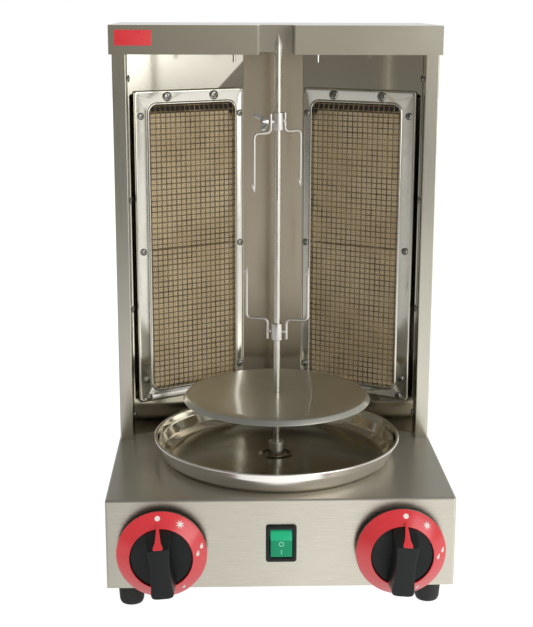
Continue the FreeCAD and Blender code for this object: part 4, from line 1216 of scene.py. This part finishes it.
# How bright the room's walls are mirrored, by heading in degrees from the right; the front is at -90
WALL_LIGHT = (
    (-180, 0.22), (-120, 0.2), (-95, 0.2), (-92, 0.43), (-81, 0.57), (-62, 1.25), (-31, 1.25), (-20, 0.6),
    (5, 0.4), (55, 0.45), (66, 1.0), (118, 1.0), (130, 0.34), (180, 0.22),
)

# The photograph's width and the camera fitted to it
WIDTH = 533
FOCAL_PIXELS = 1315.4
CENTRE_PIXEL = 269.97
CAMERA_PLACE = (-0.0459, -1.2006, 0.5139)
PITCH = math.radians(-13.4)
YAW = math.radians(-1.94)
ROLL = math.radians(-0.19)
SENSOR = 36


class GRILL_OT_stage(bpy.types.Operator):
    """Set the pale floor, the room, the window's light and the camera"""

    bl_idname = "grill.stage"
    bl_label = "Stage"

    def execute(self, context):
        self.floor()
        self.room(context)
        self.window()
        self.camera(context)
        context.scene.view_settings.view_transform = "Standard"
        return {"FINISHED"}

    def floor(self):
        """A pale floor that is white where it is seen and keeps a soft shadow."""
        deselect()
        bpy.ops.mesh.primitive_circle_add(
            vertices=96, radius=6.0, fill_type="NGON", location=(0, 0, -0.0005))
        floor = settle(named(bpy.context.object, "floor"))
        skin = Skin("pale floor", (0.8, 0.8, 0.79), 0.0, 0.9)
        spot = skin.parts(skin.place())
        nearness = skin.mapped(spot["Y"], -2.3, -0.5, 0.4, 1.15)
        rightness = skin.mapped(spot["X"], -0.26, 0.02, 0.54, 1.02)
        rays = skin.add("LightPath")
        level = skin.mixed(rays["Is Camera Ray"], skin.maths("MULTIPLY", nearness, rightness), 1.45, "FLOAT")
        seen = skin.maths("MULTIPLY", rays["Is Camera Ray"], 0.62)
        reflected = skin.maths("MAXIMUM", rays["Is Glossy Ray"], rays["Is Transmission Ray"])
        shaders = {
            "Fac": skin.maths("MAXIMUM", seen, reflected),
            1: skin.nodes["Principled BSDF"].outputs["BSDF"],
            2: skin.add("Emission", {"Strength": level})["Emission"],
        }
        output = skin.nodes["Material Output"].inputs["Surface"]
        skin.feed(output, skin.add("MixShader", shaders)["Shader"])
        floor.data.materials.append(skin.owner)

    def room(self, context):
        """White for the camera, a dimmer room for what is mirrored, and an even level for what is lit."""
        world = bpy.data.worlds.new("studio")
        context.scene.world = world
        shader = Shader(world)
        way = shader.parts(shader.place("Generated"))
        around = shader.mapped(shader.maths("ARCTAN2", way["Y"], way["X"]), -math.pi, math.pi)
        walls = shader.add("ValToRGB", {"Fac": around})["Color"]
        self.fill_ramp(walls.node.color_ramp.elements)
        height = shader.mapped(way["Z"], 0.12, 0.5)
        room = shader.mixed(height, walls, shader.mapped(way["X"], -0.1, 0.8, 0.22, 0.48))
        rays = shader.add("LightPath")
        lit = shader.mixed(rays["Is Diffuse Ray"], room, (0.86, 0.85, 0.82, 1))
        seen = shader.mixed(rays["Is Camera Ray"], lit, (1, 1, 1, 1))
        shader.feed(shader.nodes["Background"].inputs["Color"], seen)

    def fill_ramp(self, elements):
        """Sets the stops of the walls' light, with a warm tint where it is dim."""
        for heading, light in WALL_LIGHT:
            warmth = max(0.0, min(1.0, (1.0 - light) / 0.6))
            colour = (light, light * (1 - 0.06 * warmth), light * (1 - 0.2 * warmth), 1)
            if heading == -180:
                elements[0].color = colour
            elif heading == 180:
                elements[len(elements) - 1].color = colour
            else:
                elements.new((heading + 180) / 360).color = colour

    def window(self):
        """The soft window at the right that lights the left burner."""
        aim = Vector((0, -0.03, 0.25))
        spot = Vector((1.24, -1.51, 0.75))
        deselect()
        direction = (aim - spot).to_track_quat("-Z", "Y").to_matrix()
        direction = direction @ Matrix.Rotation(math.radians(38), 3, "Z")
        bpy.ops.object.light_add(type="AREA", location=spot, rotation=direction.to_euler())
        lamp = bpy.context.object
        lamp.name = "right window"
        lamp.data.shape = "RECTANGLE"
        lamp.data.size = 1.5
        lamp.data.size_y = 1.4
        lamp.data.energy = 10.5

    def camera(self, context):
        ahead = Vector((-math.sin(YAW) * math.cos(PITCH), math.cos(YAW) * math.cos(PITCH), math.sin(PITCH)))
        right = Vector((math.cos(YAW), math.sin(YAW), 0))
        down = ahead.cross(right)
        side = math.cos(ROLL) * right + math.sin(ROLL) * down
        fall = -math.sin(ROLL) * right + math.cos(ROLL) * down
        facing = Matrix((side, -fall, -ahead)).transposed().to_4x4()
        deselect()
        bpy.ops.object.camera_add()
        camera = bpy.context.object
        camera.name = "photo camera"
        camera.matrix_world = Matrix.Translation(CAMERA_PLACE) @ facing
        camera.data.sensor_fit = "HORIZONTAL"
        camera.data.sensor_width = SENSOR
        camera.data.lens = FOCAL_PIXELS / WIDTH * SENSOR
        camera.data.shift_x = -(CENTRE_PIXEL - WIDTH / 2) / WIDTH
        camera.data.clip_start = 0.01
        context.scene.camera = camera


PIECE_OPERATORS = (
    GRILL_OT_finishes, GRILL_OT_drip_pan, GRILL_OT_spit, GRILL_OT_meat_plate, GRILL_OT_forks,
    GRILL_OT_wing_screws, GRILL_OT_burner_frames, GRILL_OT_burner_meshes, GRILL_OT_screws, GRILL_OT_knobs,
    GRILL_OT_switch, GRILL_OT_case_details, GRILL_OT_stage,
)


class GRILL_PT_panel(bpy.types.Panel):
    """Lists the grill's sizes, colours and pieces"""

    bl_idname = "GRILL_PT_panel"
    bl_label = "Kebab Grill"
    bl_space_type = "VIEW_3D"
    bl_region_type = "UI"
    bl_category = "Kebab Grill"

    def draw(self, context):
        layout = self.layout
        for group in (context.scene.grill_sizes, context.scene.grill_colours):
            box = layout.box()
            for key in group.__annotations__:
                box.prop(group, key)
        for piece in PIECE_OPERATORS:
            layout.operator(piece.bl_idname)


CLASSES = (GrillSizes, GrillColours, *PIECE_OPERATORS, GRILL_PT_panel)


def register():
    for each in CLASSES:
        bpy.utils.register_class(each)
    bpy.types.Scene.grill_sizes = PointerProperty(type=GrillSizes)
    bpy.types.Scene.grill_colours = PointerProperty(type=GrillColours)


def unregister():
    del bpy.types.Scene.grill_colours
    del bpy.types.Scene.grill_sizes
    for each in reversed(CLASSES):
        bpy.utils.unregister_class(each)


def main():
    register()
    for piece in PIECE_OPERATORS:
        group, name = piece.bl_idname.split(".")
        getattr(getattr(bpy.ops, group), name)()


if __name__ == "__main__":
    main()
